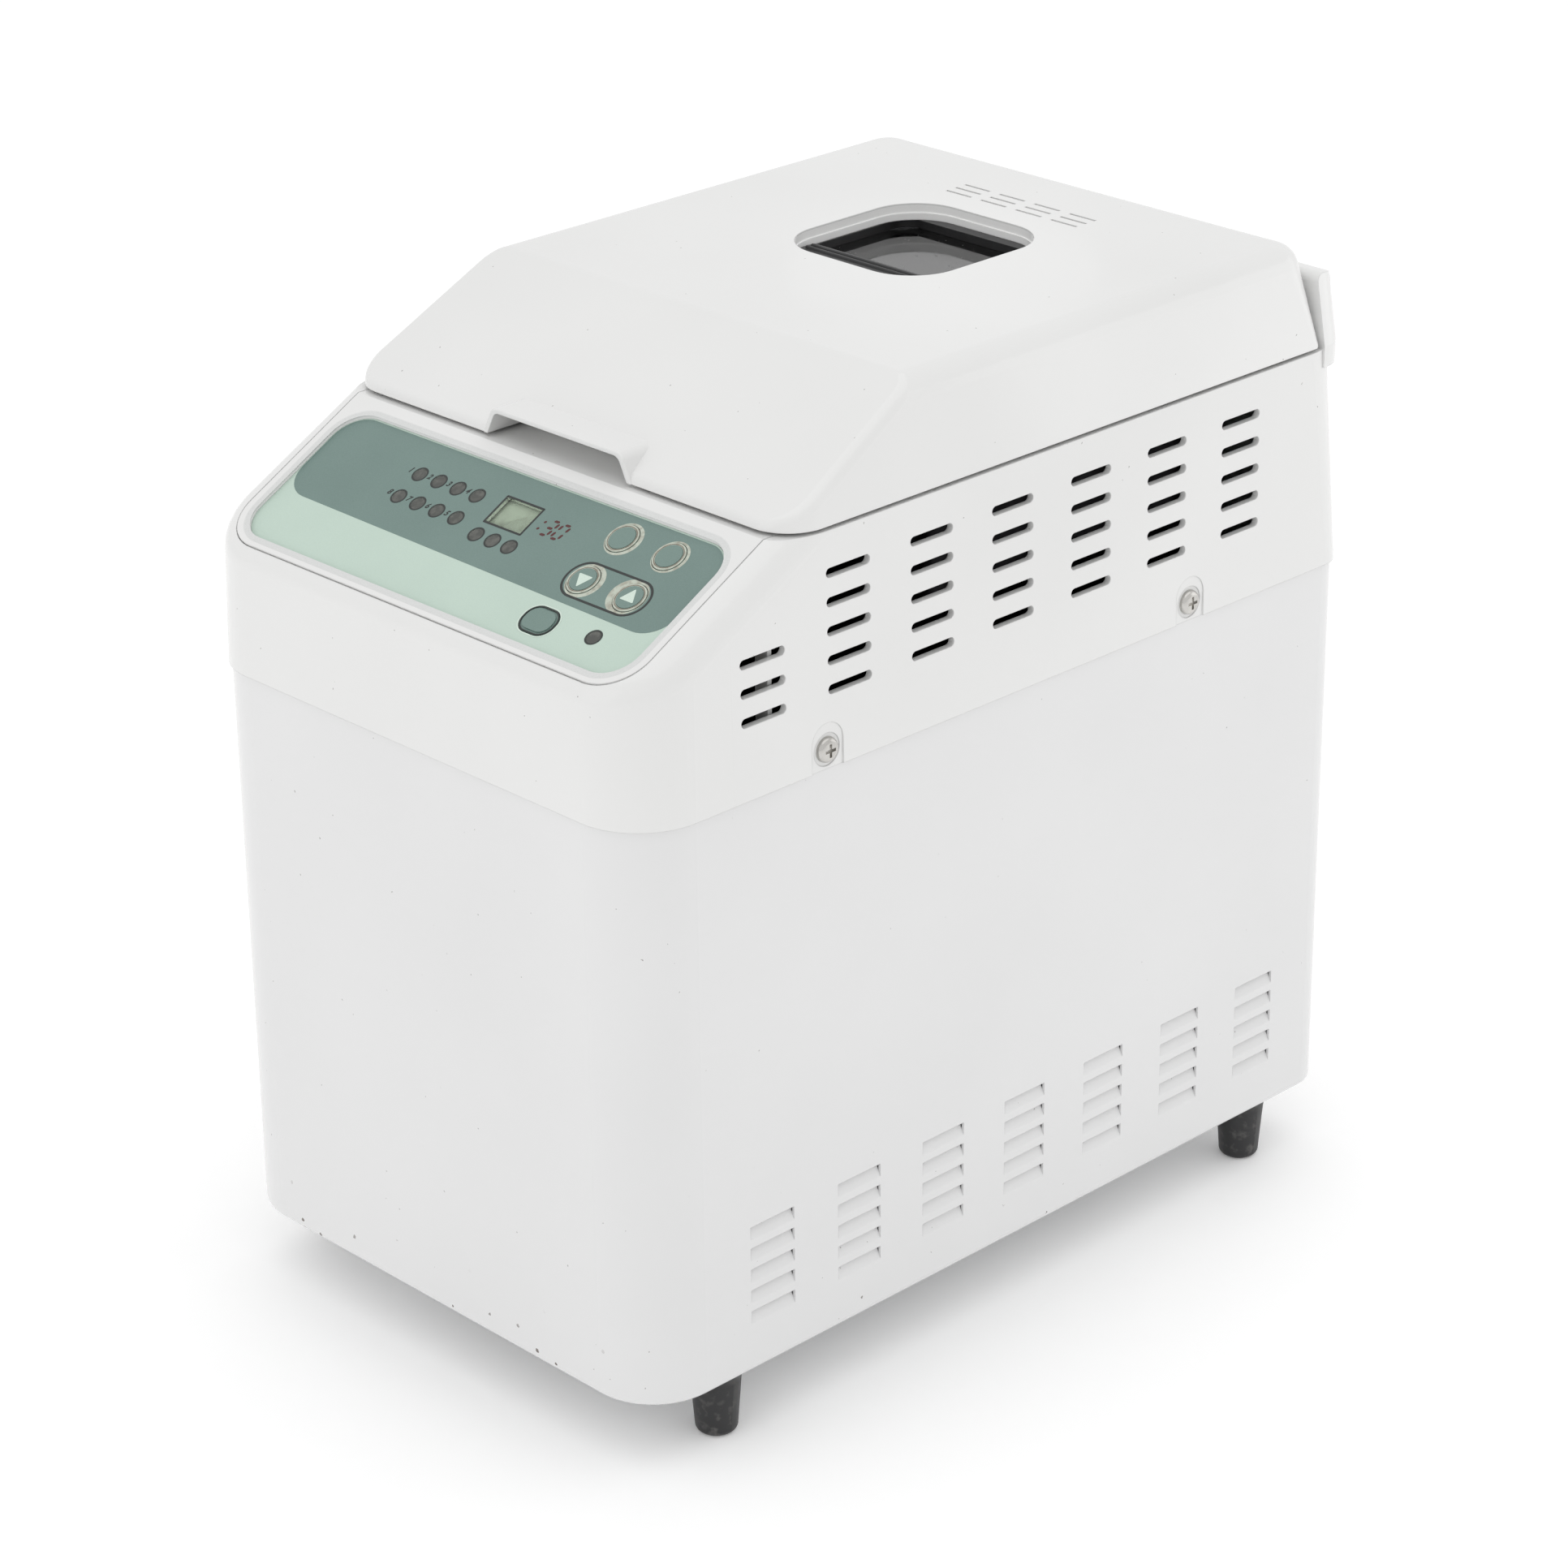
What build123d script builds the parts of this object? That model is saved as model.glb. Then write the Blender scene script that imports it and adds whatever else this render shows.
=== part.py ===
from build123d import *
import os
from math import cos, radians, sin, tan

os.makedirs("parts", exist_ok=True)

# All sizes are in millimetres. The front faces -Y, right is +X, up is +Z, and the origin is on the floor
# under the middle of the casing.

# Casing
case_width = 216.7
case_depth = 340.0
case_height = 208.0
foot_height = 24.0
sheet = 1.0  # thickness of the steel sheet
wall = 2.5  # thickness of the mouldings
case_front_round = 25.0
case_back_round = 12.0
case_edge_round = 3.0
case_flange = 24.0  # width of the rim turned in under the case
case_rim_round = 6.0
base_thick = 1.2
base_vent_length = 60.0
base_vent_width = 4.0
base_vent_pitch = 12.0
base_vent_rows = 6
housing_height = 80.0
housing_overhang = 0.9
housing_draft = 1.2  # degrees
housing_back_round = 20.0  # at the deck
housing_edge_round = 10.0
gland_rise = 40.0  # above the lower edge of the case
gland_neck = 8.5
gland_flange = 11.0
fit_gap = 0.3  # between mouldings that sit in one another
hole_gap = 0.03  # around screws and pins fixed in their holes
running_gap = 0.05  # around turning shafts

# Lid
lid_gap = 1.2  # dark line between deck and lid
lid_height = 36.3
lid_back_gap = 15.4  # from the lid's back to the back of the case
lid_side_inset = 0.4
lid_lean = 6.5  # how far each side leans in by the top
lid_back_lean = 0.8
lid_lip = 2.4
lid_front_round = 15.0  # corners seen from above
lid_back_round_low = 3.0
lid_back_round_high = 14.0
lid_top_round = 9.0
lid_crease_round = 4.0
lid_edge_round = 1.2  # along the front edge
lid_heel_round = 3.5  # back edge at the bottom
window_width = 68.0
window_length = 71.0
window_round = 19.0
window_offset = 17.0  # from the oven's middle back to the window's
window_depth = 6.0
window_collar = 2.2
window_step = 0.4  # ledge part of the way down the collar
window_step_depth = 3.4
glass_frame_cover = 6.0  # how far frame and liner reach under the lid's collar
glass_frame_thick = 3.0
glass_frame_side = 1.0
glass_frame_front = 13.5
glass_frame_back = 5.0
glass_frame_round = 6.0
glass_frame_bead = 0.9
glass_frame_beads = (8.6, 11.6)  # ridges along the front bar, from the front of the opening
glass_thick = 4.0
lid_vent_length = 12.0
lid_vent_width = 1.1
lid_vent_pitch = 16.8
lid_vent_row_pitch = 4.8
lid_vent_groups = 4
lid_vent_rows = 3
lid_vent_offset = 53.5  # behind the window's middle
hood_base = 72.0
hood_top = 63.0
hood_rise = 9.6
hood_depth = 19.5
hood_wall = 1.6
hood_round = 4.0
hood_lip_round = 0.6
liner_margin = 2.0  # from the oven's wall out to the liner's
liner_rim = 2.0
liner_rise = 1.0  # above the lid's lower edge
liner_clearance = 5.0  # under the glass
liner_edge_round = 6.0
liner_ear = 6.0
liner_ear_inset = 4.0  # from the liner's wall in to the screws at its corners
liner_vent = 2.0
lid_post = 4.0

# Control panel, measured along the slope from the lower edge of the film
panel_angle = 28.4
panel_setback = 6.4  # from the front of the case
panel_margin = 14.85  # from the film's edge to the side of the case
panel_length = 59.6
panel_round = 12.0
panel_strip = 6.8  # from the film's upper edge to the crease before the lid
deck_lead = 2.2  # from that crease to the lid's front edge
film = 0.5
film_sink = 1.2  # the film's face below the bezel's
film_flare = 0.8
bezel_border = 4.8
bezel_below = 4.1
bezel_round = 16.0
bezel_thick = 1.5
bezel_gap = 0.35
bezel_deck = 21.0  # how far the bezel runs back over the deck under the lid
well_wall = 1.5
well_depth = 3.2
board_depth = 12.0
board_thick = 1.6
board_margin = 5.0
post_inset = 8.5  # from the film's edge to the posts that carry the board
post_radius = 3.0
board_screw_shank = 2.6
board_screw_head = 5.4
lamp_diameter = 5.0
display_width = 16.8
display_length = 11.3
display_rim = 1.5
button_diameter = 11.8
button_cap = 9.4
button_rise = 0.5
button_flange = 1.0
button_travel = 0.8
switch_width = 6.0
switch_height = 3.4
switch_tip = 1.0
start_width = 14.4
start_length = 11.0
start_round = 5.0
start_step = 1.2

# Places on the panel: across as a share of its half width, up the slope as a share of its length
lamp_first = -0.4866
lamp_pitch = 0.1024
lamp_rows = (0.7617, 0.5822)
shade_lamp_first = -0.0406
shade_lamp_pitch = 0.0861
shade_lamp_row = 0.5319
run_lamp = (0.7604, 0.2064)
display_share = (0.0353, 0.7282)
menu_share = (0.5273, 0.8305)
colour_share = (0.7604, 0.8272)
timer_down_share = (0.5273, 0.5067)
timer_up_share = (0.7583, 0.5067)
start_share = (0.507, 0.1779)

# Side openings, placed from the front and back of the case
louvre_front = 45.6
louvre_back = 31.7
louvre_columns = 7
louvre_rows = 5
louvre_length = 19.94
louvre_height = 4.8
louvre_row_pitch = 7.92
louvre_top = 55.1  # above the lower edge of the case
louvre_press = 1.9
slot_front = 82.7
slot_back = 48.8
slot_columns = 6
slot_rows = 5
slot_length = 19.5
slot_height = 3.3
slot_row_pitch = 9.8
slot_drop = 12.4  # from the deck to the top of the first row
short_slot_front = 44.6
short_slot_rows = 3
short_slot_drop = 32.1
slot_rib_share = 0.78  # where a rib crosses behind the short slots
slot_rib_thick = 1.8
slot_rib_depth = 6.0
slot_rib_rise = 6.0
side_screw_front = 81.8
side_screw_back = 83.9
side_screw_rise = 6.7  # above the seam
side_screw_length = 9.0
screw_head = 8.8
screw_shank = 4.0
screw_tab_width = 14.0
screw_tab_height = 16.0
screw_tab_sink = 0.45
screw_well = 11.4
screw_well_sink = 0.4
tongue_width = 14.0
tongue_reach = 14.0  # above and below the seam
tongue_weld = 10.0

# Feet
foot_top = 20.0
foot_bottom = 14.6
foot_flare = 1.4
foot_flare_height = 4.5
foot_toe_round = 2.6
foot_bore = 3.6
foot_bore_depth = 12.0
foot_screw_head = 6.6
foot_screw_end = 4.0  # above the base plate
foot_inset = 12.0
foot_front = 40.0
foot_back = 32.3

# Oven and pan
oven_half = 86.0
oven_round = 30.0
oven_floor_z = 100.0
oven_rim = 6.0
oven_foot_round = 5.0
oven_deck_gap = 0.4
oven_hole = 14.0
pan_half = 70.0
pan_taper = 4.0
pan_round = 24.0
pan_wall = 1.5
pan_bottom_z = 118.0
pan_height = 138.0
pan_lip = 2.5
pan_foot_round = 10.0
pan_rib = 3.0
pan_rib_low = 20.0  # above the pan's bottom
pan_rib_high = 25.0  # below its rim
base_ring_radius = 44.5
base_ring_wall = 2.5
base_ring_bore = 30.0
base_ring_gap = 0.2
element_radius = 3.25
element_z = 130.0
element_round = 20.0
element_inset = 1.0  # from half way between pan and oven wall in towards the pan
terminal_bend = 7.0
terminal_half = 12.0
terminal_reach = 22.0
bushing_radius = 5.4
bushing_flange = 8.0
bracket_half = 4.0
sensor_side = 45.0
sensor_z = 180.0
sensor_radius = 3.0
clip_angles = (30, 150, 270)
clip_height = 13.0
clip_half = 5.0
clip_foot = 11.0
handle_reach = 72.0
handle_wire = 2.0
handle_gap = 7.0  # from the pan's wall to the wire
handle_plate = 1.5
handle_ear = 8.0
handle_rise = 2.0
bearing_radius = 8.0
bearing_flange = 12.0
seal_height = 3.0
shaft_radius = 4.0
shaft_top_z = 158.0
flat_depth = 1.2
wing_length = 28.0
wing_width = 5.0
wing_low_z = 105.0
wing_high_z = 110.0
wing_hub = 6.0
paddle_hub = 8.0
paddle_reach = 50.0
paddle_thick = 4.0
paddle_tip = 30.0
paddle_root = 18.0
paddle_toe = 6.0
paddle_rise = 12.8  # hub's lower end above the pan's bottom

# Drive
motor_radius = 40.0
motor_height = 62.0
motor_step = 6.0
motor_boss = 11.0
spare_depths = (22.0, 27.0, 37.0)  # before the motor, between motor and oven, behind the oven
frame_z = 58.0
frame_thick = 3.0
frame_side_gap = 31.35  # from the side of the case
frame_overlap = 7.0  # from the frame's edge in to its posts
frame_lead = 47.0  # before the motor's axis
frame_tail = 65.0  # behind the oven's middle
frame_post = 5.0
oven_post_half = 55.0
bearing_outer = 9.0
bearing_ring = 14.0
pulley_low_z = 38.0
pulley_high_z = 50.0
big_pulley = 56.0
small_pulley = 9.0
pulley_rim = 2.0
pulley_hub = 12.0
pulley_hole_ring = 34.0
pulley_hole = 11.0
pulley_holes = 6
belt_thick = 3.0
belt_gap = 0.2
coupling_radius = 16.0
dog_radius = 3.0
dog_ring = 10.0

# Power supply on a bracket beside the motor
power_gap = 20.0  # from the side of the case to the bracket
power_half = 42.0
power_height = 114.0
power_flange = 11.0
power_pad = 5.0
power_pad_inset = 6.0
power_board_low = 20.0
power_board_height = 92.0
transformer_core = (20.0, 40.0, 34.0)  # out from the board, along it and up
transformer_coil = (26.0, 24.0, 26.0)
relay_size = (15.0, 18.0, 28.0)
power_part_low = 50.0  # above the board's lower edge

# Hinge
hinge_setback = 7.4  # from the back of the case
hinge_rise = 22.0  # above the deck
boss_width = 23.0
boss_height = 26.6  # above the deck
boss_slant = 2.0
boss_gap = 0.8
boss_round = 12.0
boss_front_round = 3.0
boss_back_round = 8.0
boss_drop = 6.5  # how far the boss reaches below the deck
lug_width = 23.5
lug_radius = 4.6
pin_radius = 2.2
pin_cover = 6.5

# Heights and places that follow from the sizes above
case_z = foot_height
seam_z = case_z + case_height
deck_z = seam_z + housing_height
lid_z = deck_z + lid_gap
top_z = lid_z + lid_height
front_y = -case_depth / 2
back_y = case_depth / 2
side_x = case_width / 2
lean = tan(radians(housing_draft))
slope = tan(radians(panel_angle))
panel_width = case_width - 2 * panel_margin
panel_front = front_y + panel_setback
deck_front = panel_front + (panel_length + panel_strip) * cos(radians(panel_angle))
lid_front = deck_front + deck_lead
lid_back = back_y - lid_back_gap
panel_z = deck_z - (deck_front - panel_front) * slope
panel = Plane(
    origin=(0, panel_front, panel_z),
    x_dir=(1, 0, 0),
    z_dir=(0, -sin(radians(panel_angle)), cos(radians(panel_angle))),
)
lid_slope = Plane(origin=(0, lid_front, lid_z + lid_lip), x_dir=panel.x_dir, z_dir=panel.z_dir)
bezel_half = panel_width / 2 + bezel_border
deck_half = side_x + housing_overhang - housing_height * lean
deck_back = back_y + housing_overhang - housing_height * lean
lid_half = deck_half - lid_side_inset
spread = (case_depth - 2 * motor_radius - 2 * (oven_half + sheet)) / sum(spare_depths)
motor_y = front_y + spread * spare_depths[0] + motor_radius
oven_y = back_y - spread * spare_depths[2] - oven_half - sheet  # middle of the chamber, axis of the drive
oven_front = oven_y - oven_half
window_y = oven_y + window_offset
lid_vent_y = window_y + lid_vent_offset
collar_z = top_z - window_depth
glass_z = collar_z - glass_frame_thick
liner_z = lid_z + liner_rise
liner_top_z = glass_z - liner_clearance
liner_half = oven_half + liner_margin
hinge_y = back_y - hinge_setback
hinge_z = deck_z + hinge_rise
base_top_z = case_z + sheet + base_thick
pan_rim_z = pan_bottom_z + pan_height
handle_z = pan_rim_z + handle_rise
handle_half = pan_half + handle_gap
element_half = (pan_half + oven_half) / 2 - element_inset
frame_top_z = frame_z + frame_thick
power_x = -side_x + power_gap
power_board_x = power_x + power_pad
far = 500.0  # long enough to cut right through
LOW = (Align.CENTER, Align.CENTER, Align.MIN)
HIGH = (Align.CENTER, Align.CENTER, Align.MAX)


def save(name, *solids):
    """Write one node, as a single solid or as a group of like solids."""
    whole = []
    for solid in solids:
        whole.extend(solid.solids())
    shape = whole[0] if len(whole) == 1 else Compound(children=whole)
    export_step(shape, "parts/" + name + ".step")


def plan(half_width, front, back, front_round, back_round):
    """A rectangle seen from above, with one corner radius at the front and one at the back."""
    outline = Pos(0, (front + back) / 2) * Rectangle(2 * half_width, back - front)
    outline = fillet(outline.vertices().sort_by(Axis.Y)[:2], front_round)
    return fillet(outline.vertices().sort_by(Axis.Y)[-2:], back_round)


def column(outline, low, high):
    """An outline on the ground raised between two heights."""
    return extrude(Pos(0, 0, low) * outline, high - low)


def square(half, corner, middle_y):
    """A square with rounded corners, seen from above."""
    return Pos(0, middle_y) * RectangleRounded(2 * half, 2 * half, corner)


def rod(radius, low, high, x=0.0, y=0.0):
    """An upright cylinder between two heights."""
    return Pos(x, y, low) * Cylinder(radius, high - low, align=LOW)


def cross_rod(radius, left, right, y, z):
    """A cylinder along X."""
    turn = Pos((left + right) / 2, y, z) * Rot(0, 90, 0)
    return turn * Cylinder(radius, right - left)


def block(x0, x1, y0, y1, z0, z1):
    """A box between two corners."""
    place = Pos((x0 + x1) / 2, (y0 + y1) / 2, (z0 + z1) / 2)
    return place * Box(x1 - x0, y1 - y0, z1 - z0)


def above(height):
    """Everything above a height."""
    return Pos(0, 0, height) * Box(far, far, far, align=LOW)


def side_profile(points, x0, x1):
    """A shape seen from the side, as (y, z) points, swept from x0 to x1."""
    outline = Polyline([(x0, y, z) for y, z in points], close=True)
    return extrude(make_face(outline), x1 - x0, dir=(1, 0, 0))


def both_sides(shape):
    """A shape on the right together with its mirror image on the left."""
    return [shape, mirror(shape, about=Plane.YZ)]


def spaced(first, last, number):
    """The distance between neighbours of a row that fills a length."""
    return (last - first) / (number - 1)


def spot(share):
    """A place on the panel in millimetres, from its shares of the half width and the length."""
    return (share[0] * panel_width / 2, share[1] * panel_length)


def on_panel(sketch, place=(0.0, 0.0), depth=0.0):
    """Lay a sketch on the panel at a place given along and up the slope."""
    return panel * Pos(place[0], place[1], -depth) * sketch


def panel_plug(sketch, place, top, bottom):
    """A prism square to the panel between two depths under the panel's face."""
    return extrude(on_panel(sketch, place, bottom), bottom - top)


def pan_head_screw(head, shank, length):
    """A cross-head screw along +Z: the head's seat is at zero and the shank goes down."""
    crown = Cylinder(head / 2, 0.26 * head, align=LOW)
    crown = fillet(crown.edges().sort_by(Axis.Z)[-1], 0.22 * head)
    slot = Pos(0, 0, 0.26 * head) * Box(0.52 * head, 0.12 * head, 0.24 * head)
    crown -= slot
    crown -= Rot(0, 0, 90) * slot
    return crown + Cylinder(shank / 2, length, align=HIGH)


# Lower case

def louvre_column(y0):
    """The windows and pressed flaps of one column on the right-hand side."""
    windows = []
    flaps = []
    for row in range(louvre_rows):
        top = case_z + louvre_top - row * louvre_row_pitch
        low = top - louvre_height
        windows.append(block(side_x - 2 * sheet, side_x + sheet, y0, y0 + louvre_length, low, top))
        section = Polyline(
            (side_x, y0, low),
            (side_x - louvre_press, y0, top - fit_gap),
            (side_x - louvre_press - sheet, y0, top - fit_gap),
            (side_x - sheet, y0, low),
            close=True,
        )
        flaps.append(extrude(make_face(section), louvre_length, dir=(0, 1, 0)))
    return windows, flaps


def louvre_starts():
    """Front ends of the louvre columns."""
    first = front_y + louvre_front
    pitch = spaced(first, back_y - louvre_back - louvre_length, louvre_columns)
    return [first + number * pitch for number in range(louvre_columns)]


def side_screw_rows():
    """The two places of the side screws along the case."""
    return (front_y + side_screw_front, back_y - side_screw_back)


def side_screw_hole(radius, y):
    return cross_rod(radius, side_x - 20, side_x + 5, y, seam_z + side_screw_rise)


def screw_tongue(y):
    """A tongue inside the right wall that takes a side screw above the seam."""
    inner = side_x + housing_overhang - wall - bezel_gap
    y0 = y - tongue_width / 2
    y1 = y + tongue_width / 2
    low = seam_z - tongue_reach
    tongue = block(inner - sheet, inner, y0, y1, low, seam_z + tongue_reach)
    tongue += block(inner - sheet, side_x - sheet / 2, y0, y1, low, low + tongue_weld)
    return tongue - side_screw_hole(screw_shank / 2 + hole_gap, y)


def gland_place():
    return Pos(0, back_y, case_z + gland_rise) * Rot(-90, 0, 0)


def foot_places():
    """Middles of the four feet."""
    rows = (front_y + foot_front, back_y - foot_back)
    return [(x, y) for y in rows for x in (-side_x + foot_inset, side_x - foot_inset)]


def case_plan(inset):
    """The case seen from above, moved in all round."""
    return plan(
        side_x - inset, front_y + inset, back_y - inset, case_front_round - inset, case_back_round - inset
    )


def lower_case():
    shell = column(case_plan(0), case_z, seam_z)
    shell = fillet(shell.faces().sort_by(Axis.Z)[0].edges(), case_edge_round)
    shell -= column(case_plan(sheet), case_z + sheet, seam_z + 1)
    mouth = plan(
        side_x - case_flange, front_y + case_flange, back_y - case_flange, case_rim_round, case_rim_round
    )
    shell -= column(mouth, case_z - 1, case_z + 2 * sheet)
    windows = []
    added = []
    for start in louvre_starts():
        cut, flaps = louvre_column(start)
        windows += cut
        added += flaps
    for y in side_screw_rows():
        added.append(screw_tongue(y))
    for window in windows:
        shell -= both_sides(window)
    for piece in added:
        shell += both_sides(piece)
    for x, y in foot_places():
        shell -= rod(screw_shank / 2 + hole_gap, case_z - 5, case_z + 5, x, y)
    return shell - gland_place() * Cylinder(gland_neck + hole_gap, 20)


def base_plate():
    """The plate in the bottom of the case, with vents under the motor."""
    plate = column(case_plan(sheet + fit_gap), case_z + sheet, base_top_z)
    for x, y in foot_places():
        plate -= rod(screw_shank / 2 + hole_gap, case_z, base_top_z + 1, x, y)
    for row in range(base_vent_rows):
        y = motor_y + (row - (base_vent_rows - 1) / 2) * base_vent_pitch
        plate -= column(Pos(0, y) * SlotOverall(base_vent_length, base_vent_width), case_z, base_top_z + 1)
    return plate


def rubber_foot(x, y):
    """A tapered foot, flared where it meets the case, with a deep hole for its screw."""
    low = foot_bottom / 2
    top = foot_top / 2
    toe = foot_toe_round
    shoulder = foot_height - foot_flare_height
    side = Line((low, toe), (top - foot_flare, shoulder))
    middle = (top - 0.8 * foot_flare, shoulder + foot_flare_height / 2)
    edges = [
        Line((0, 0), (low - toe, 0)),
        ThreePointArc((low - toe, 0), (low - 0.29 * toe, 0.29 * toe), (low, toe)),
        side,
        ThreePointArc(side @ 1, middle, (top, foot_height)),
        Line((top, foot_height), (0, foot_height)),
        Line((0, foot_height), (0, 0)),
    ]
    foot = revolve(Plane.XZ * make_face(edges), Axis.Z)
    foot -= rod(foot_bore, -1, foot_bore_depth)
    foot -= rod(screw_shank / 2 + hole_gap, 0, foot_height + 1)
    return Pos(x, y) * foot


def foot_screw(x, y):
    """A screw that goes up through the foot, the rim and the base plate."""
    length = base_top_z + foot_screw_end - foot_bore_depth
    return Pos(x, y, foot_bore_depth) * Rot(180, 0, 0) * pan_head_screw(foot_screw_head, screw_shank, length)


def cord_gland():
    """A plain bush in the back wall where a mains lead would come out."""
    bush = rod(gland_flange, -6 * sheet, -sheet - 0.1)
    bush += rod(gland_neck, -2 * sheet, sheet)
    bush += Pos(0, 0, 0.05) * Cone(gland_flange + 0.5, gland_flange, 0.75, align=LOW)
    bush -= rod(foot_bore, -3, 2)
    return gland_place() * bush


# Upper housing

def housing_side(height):
    """How far the housing stands out beyond the case at a height."""
    return housing_overhang - (height - seam_z) * lean


def housing_block(inset):
    """The upper housing's form, moved in all round by a wall thickness."""
    levels = []
    for height in (seam_z - (1 if inset else 0), top_z):
        share = (height - seam_z) / housing_height
        grow = housing_side(height) - inset
        back_round = case_back_round + (housing_back_round - case_back_round) * share
        outline = plan(
            side_x + grow, front_y - grow, back_y + grow, case_front_round - inset, back_round - inset
        )
        levels.append(Pos(0, 0, height) * outline)
    form = loft(levels)
    form -= panel * Pos(0, 0, -inset) * Box(far, far, far, align=LOW)
    face = max(form.faces(), key=lambda f: f.normal_at().dot(panel.z_dir))
    edges = [edge for edge in face.edges() if edge.center().Z < top_z - 1]
    form = fillet(edges, housing_edge_round - inset)
    return form - above(deck_z - inset)


def slot_places():
    """Middles of the side slots, along the side and up."""
    first = front_y + slot_front
    pitch = spaced(first, back_y - slot_back - slot_length, slot_columns)
    starts = [(first + n * pitch, slot_drop, slot_rows) for n in range(slot_columns)]
    starts.append((front_y + short_slot_front, short_slot_drop, short_slot_rows))
    places = []
    for y, drop, rows in starts:
        for row in range(rows):
            z = deck_z - drop - row * slot_row_pitch
            places.append((y + slot_length / 2, z - slot_height / 2))
    return places


def side_slot(y, z):
    """A cutter for one slot through the right-hand wall."""
    inner = side_x + housing_side(z) - wall - fit_gap
    return extrude(Plane.YZ.offset(inner) * Pos(y, z) * SlotOverall(slot_length, slot_height), 2 * wall)


def slot_rib():
    """An upright rib behind the short slots, joined to the right-hand wall above and below them."""
    y = front_y + short_slot_front + slot_rib_share * slot_length
    low = seam_z + slot_rib_rise
    high = deck_z - short_slot_drop + 2 * slot_rib_rise
    outer = side_x + housing_side(deck_z) - wall
    left = outer - slot_rib_depth
    rib = block(left, outer - fit_gap, y, y + slot_rib_thick, low, high)
    for z in (low, high - slot_rib_rise):
        rib += block(left, outer + wall / 2, y, y + slot_rib_thick, z, z + slot_rib_rise)
    return rib


def screw_tab(y):
    """The shallow round-topped recess round a side screw on the right."""
    round_top = screw_tab_width / 2
    outline = Pos(0, -round_top / 2) * Rectangle(screw_tab_width, screw_tab_height - round_top)
    outline += Pos(0, screw_tab_height / 2 - round_top) * Circle(round_top)
    middle = Plane.YZ * Pos(y, seam_z + screw_tab_height / 2)
    tab = Pos(screw_seat_x() + screw_well_sink) * extrude(middle * outline, 5)
    return tab + cross_rod(screw_well / 2, screw_seat_x(), side_x + 5, y, seam_z + side_screw_rise)


def screw_seat_x():
    """Where the heads of the side screws sit."""
    return side_x + housing_side(seam_z + side_screw_rise) - screw_tab_sink - screw_well_sink


def hinge_boss():
    """The right-hand hinge boss at the back of the deck, leaning like the lid's side."""
    left = deck_half - boss_width
    front = lid_back + boss_gap
    top = deck_z + boss_height
    shoulder = deck_z - sheet
    root = deck_z - boss_drop

    def outline(height, corner):
        tilt = lid_lean * max(0, height - lid_z) / lid_height
        width = boss_width - tilt
        shape = Pos(left + width / 2, (front + deck_back) / 2) * Rectangle(width, deck_back - front)
        outer = max(shape.vertices(), key=lambda v: v.X + v.Y)
        return Pos(0, 0, height) * fillet(outer, min(corner, 0.9 * (deck_back - front)))

    body = loft([outline(root, housing_back_round), outline(shoulder, boss_round)])
    body += loft([outline(shoulder, boss_round), outline(lid_z, boss_round)])
    body += loft([outline(lid_z, boss_round), outline(top, boss_round)])
    arch = side_profile(
        [(front, root), (front, top), (deck_back, top - boss_slant), (deck_back, root)], left, deck_half
    )
    ridges = arch.edges().filter_by(Axis.X).sort_by(Axis.Z)
    arch = fillet(ridges[-1], boss_front_round)
    ridges = arch.edges().filter_by(Axis.X).group_by(Axis.Y)[-1].sort_by(Axis.Z)
    arch = fillet(ridges[-1], boss_back_round)
    return body & arch


def bezel_outline(grow=0.0):
    """The bezel seen square to the panel: round at its lower corners, square under the lid."""
    length = bezel_below + panel_length + panel_strip + sheet
    outline = Pos(0, length / 2 - bezel_below) * Rectangle(2 * (bezel_half + grow), length + 2 * grow)
    return fillet(outline.vertices().sort_by(Axis.Y)[:2], bezel_round + grow)


def bezel_plate(grow):
    """The bezel's plate, folded from the slope back over the deck."""
    half = bezel_half + grow
    plate = panel_plug(bezel_outline(grow), (0, 0), 0, bezel_thick)
    plate += block(-half, half, deck_front, deck_front + bezel_deck + grow, deck_z - bezel_thick, deck_z)
    return plate - above(deck_z)


def film_outline(grow=0.0):
    return RectangleRounded(panel_width + 2 * grow, panel_length + 2 * grow, panel_round + grow)


def film_plug(grow, top, bottom):
    """A prism with the film's outline between two depths."""
    return panel_plug(film_outline(grow), (0, panel_length / 2), top, bottom)


def upper_housing():
    form = housing_block(0) - housing_block(wall)
    grow = sheet + oven_deck_gap
    form -= column(square(oven_half + grow, oven_round + grow, oven_y), deck_z - 20, deck_z + 1)
    form += both_sides(slot_rib())
    slots = []
    for y, z in slot_places():
        slots += both_sides(side_slot(y, z))
    form -= slots
    for y in side_screw_rows():
        form -= both_sides(screw_tab(y))
        form -= both_sides(side_screw_hole(screw_shank / 2 + fit_gap, y))
    form -= bezel_plate(bezel_gap)
    form -= film_plug(well_wall + fit_gap, -sheet, board_depth)
    form += both_sides(hinge_boss())
    left = deck_half - boss_width - 1
    pin_hole = cross_rod(pin_radius + hole_gap, left, deck_half - pin_cover + fit_gap, hinge_y, hinge_z)
    return form - both_sides(pin_hole)


def side_screw(y):
    """A side screw on the right, its head on the housing."""
    place = Pos(screw_seat_x(), y, seam_z + side_screw_rise)
    return place * Rot(0, 90, 0) * pan_head_screw(screw_head, screw_shank, side_screw_length)


# Control panel

def lamp_places():
    """Middles of all the lamps on the panel."""
    shares = [(lamp_first + n * lamp_pitch, row) for row in lamp_rows for n in range(4)]
    shares += [(shade_lamp_first + n * shade_lamp_pitch, shade_lamp_row) for n in range(3)]
    return [spot(share) for share in shares + [run_lamp]]


def round_button_places():
    return [spot(share) for share in (menu_share, colour_share, timer_down_share, timer_up_share)]


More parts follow.
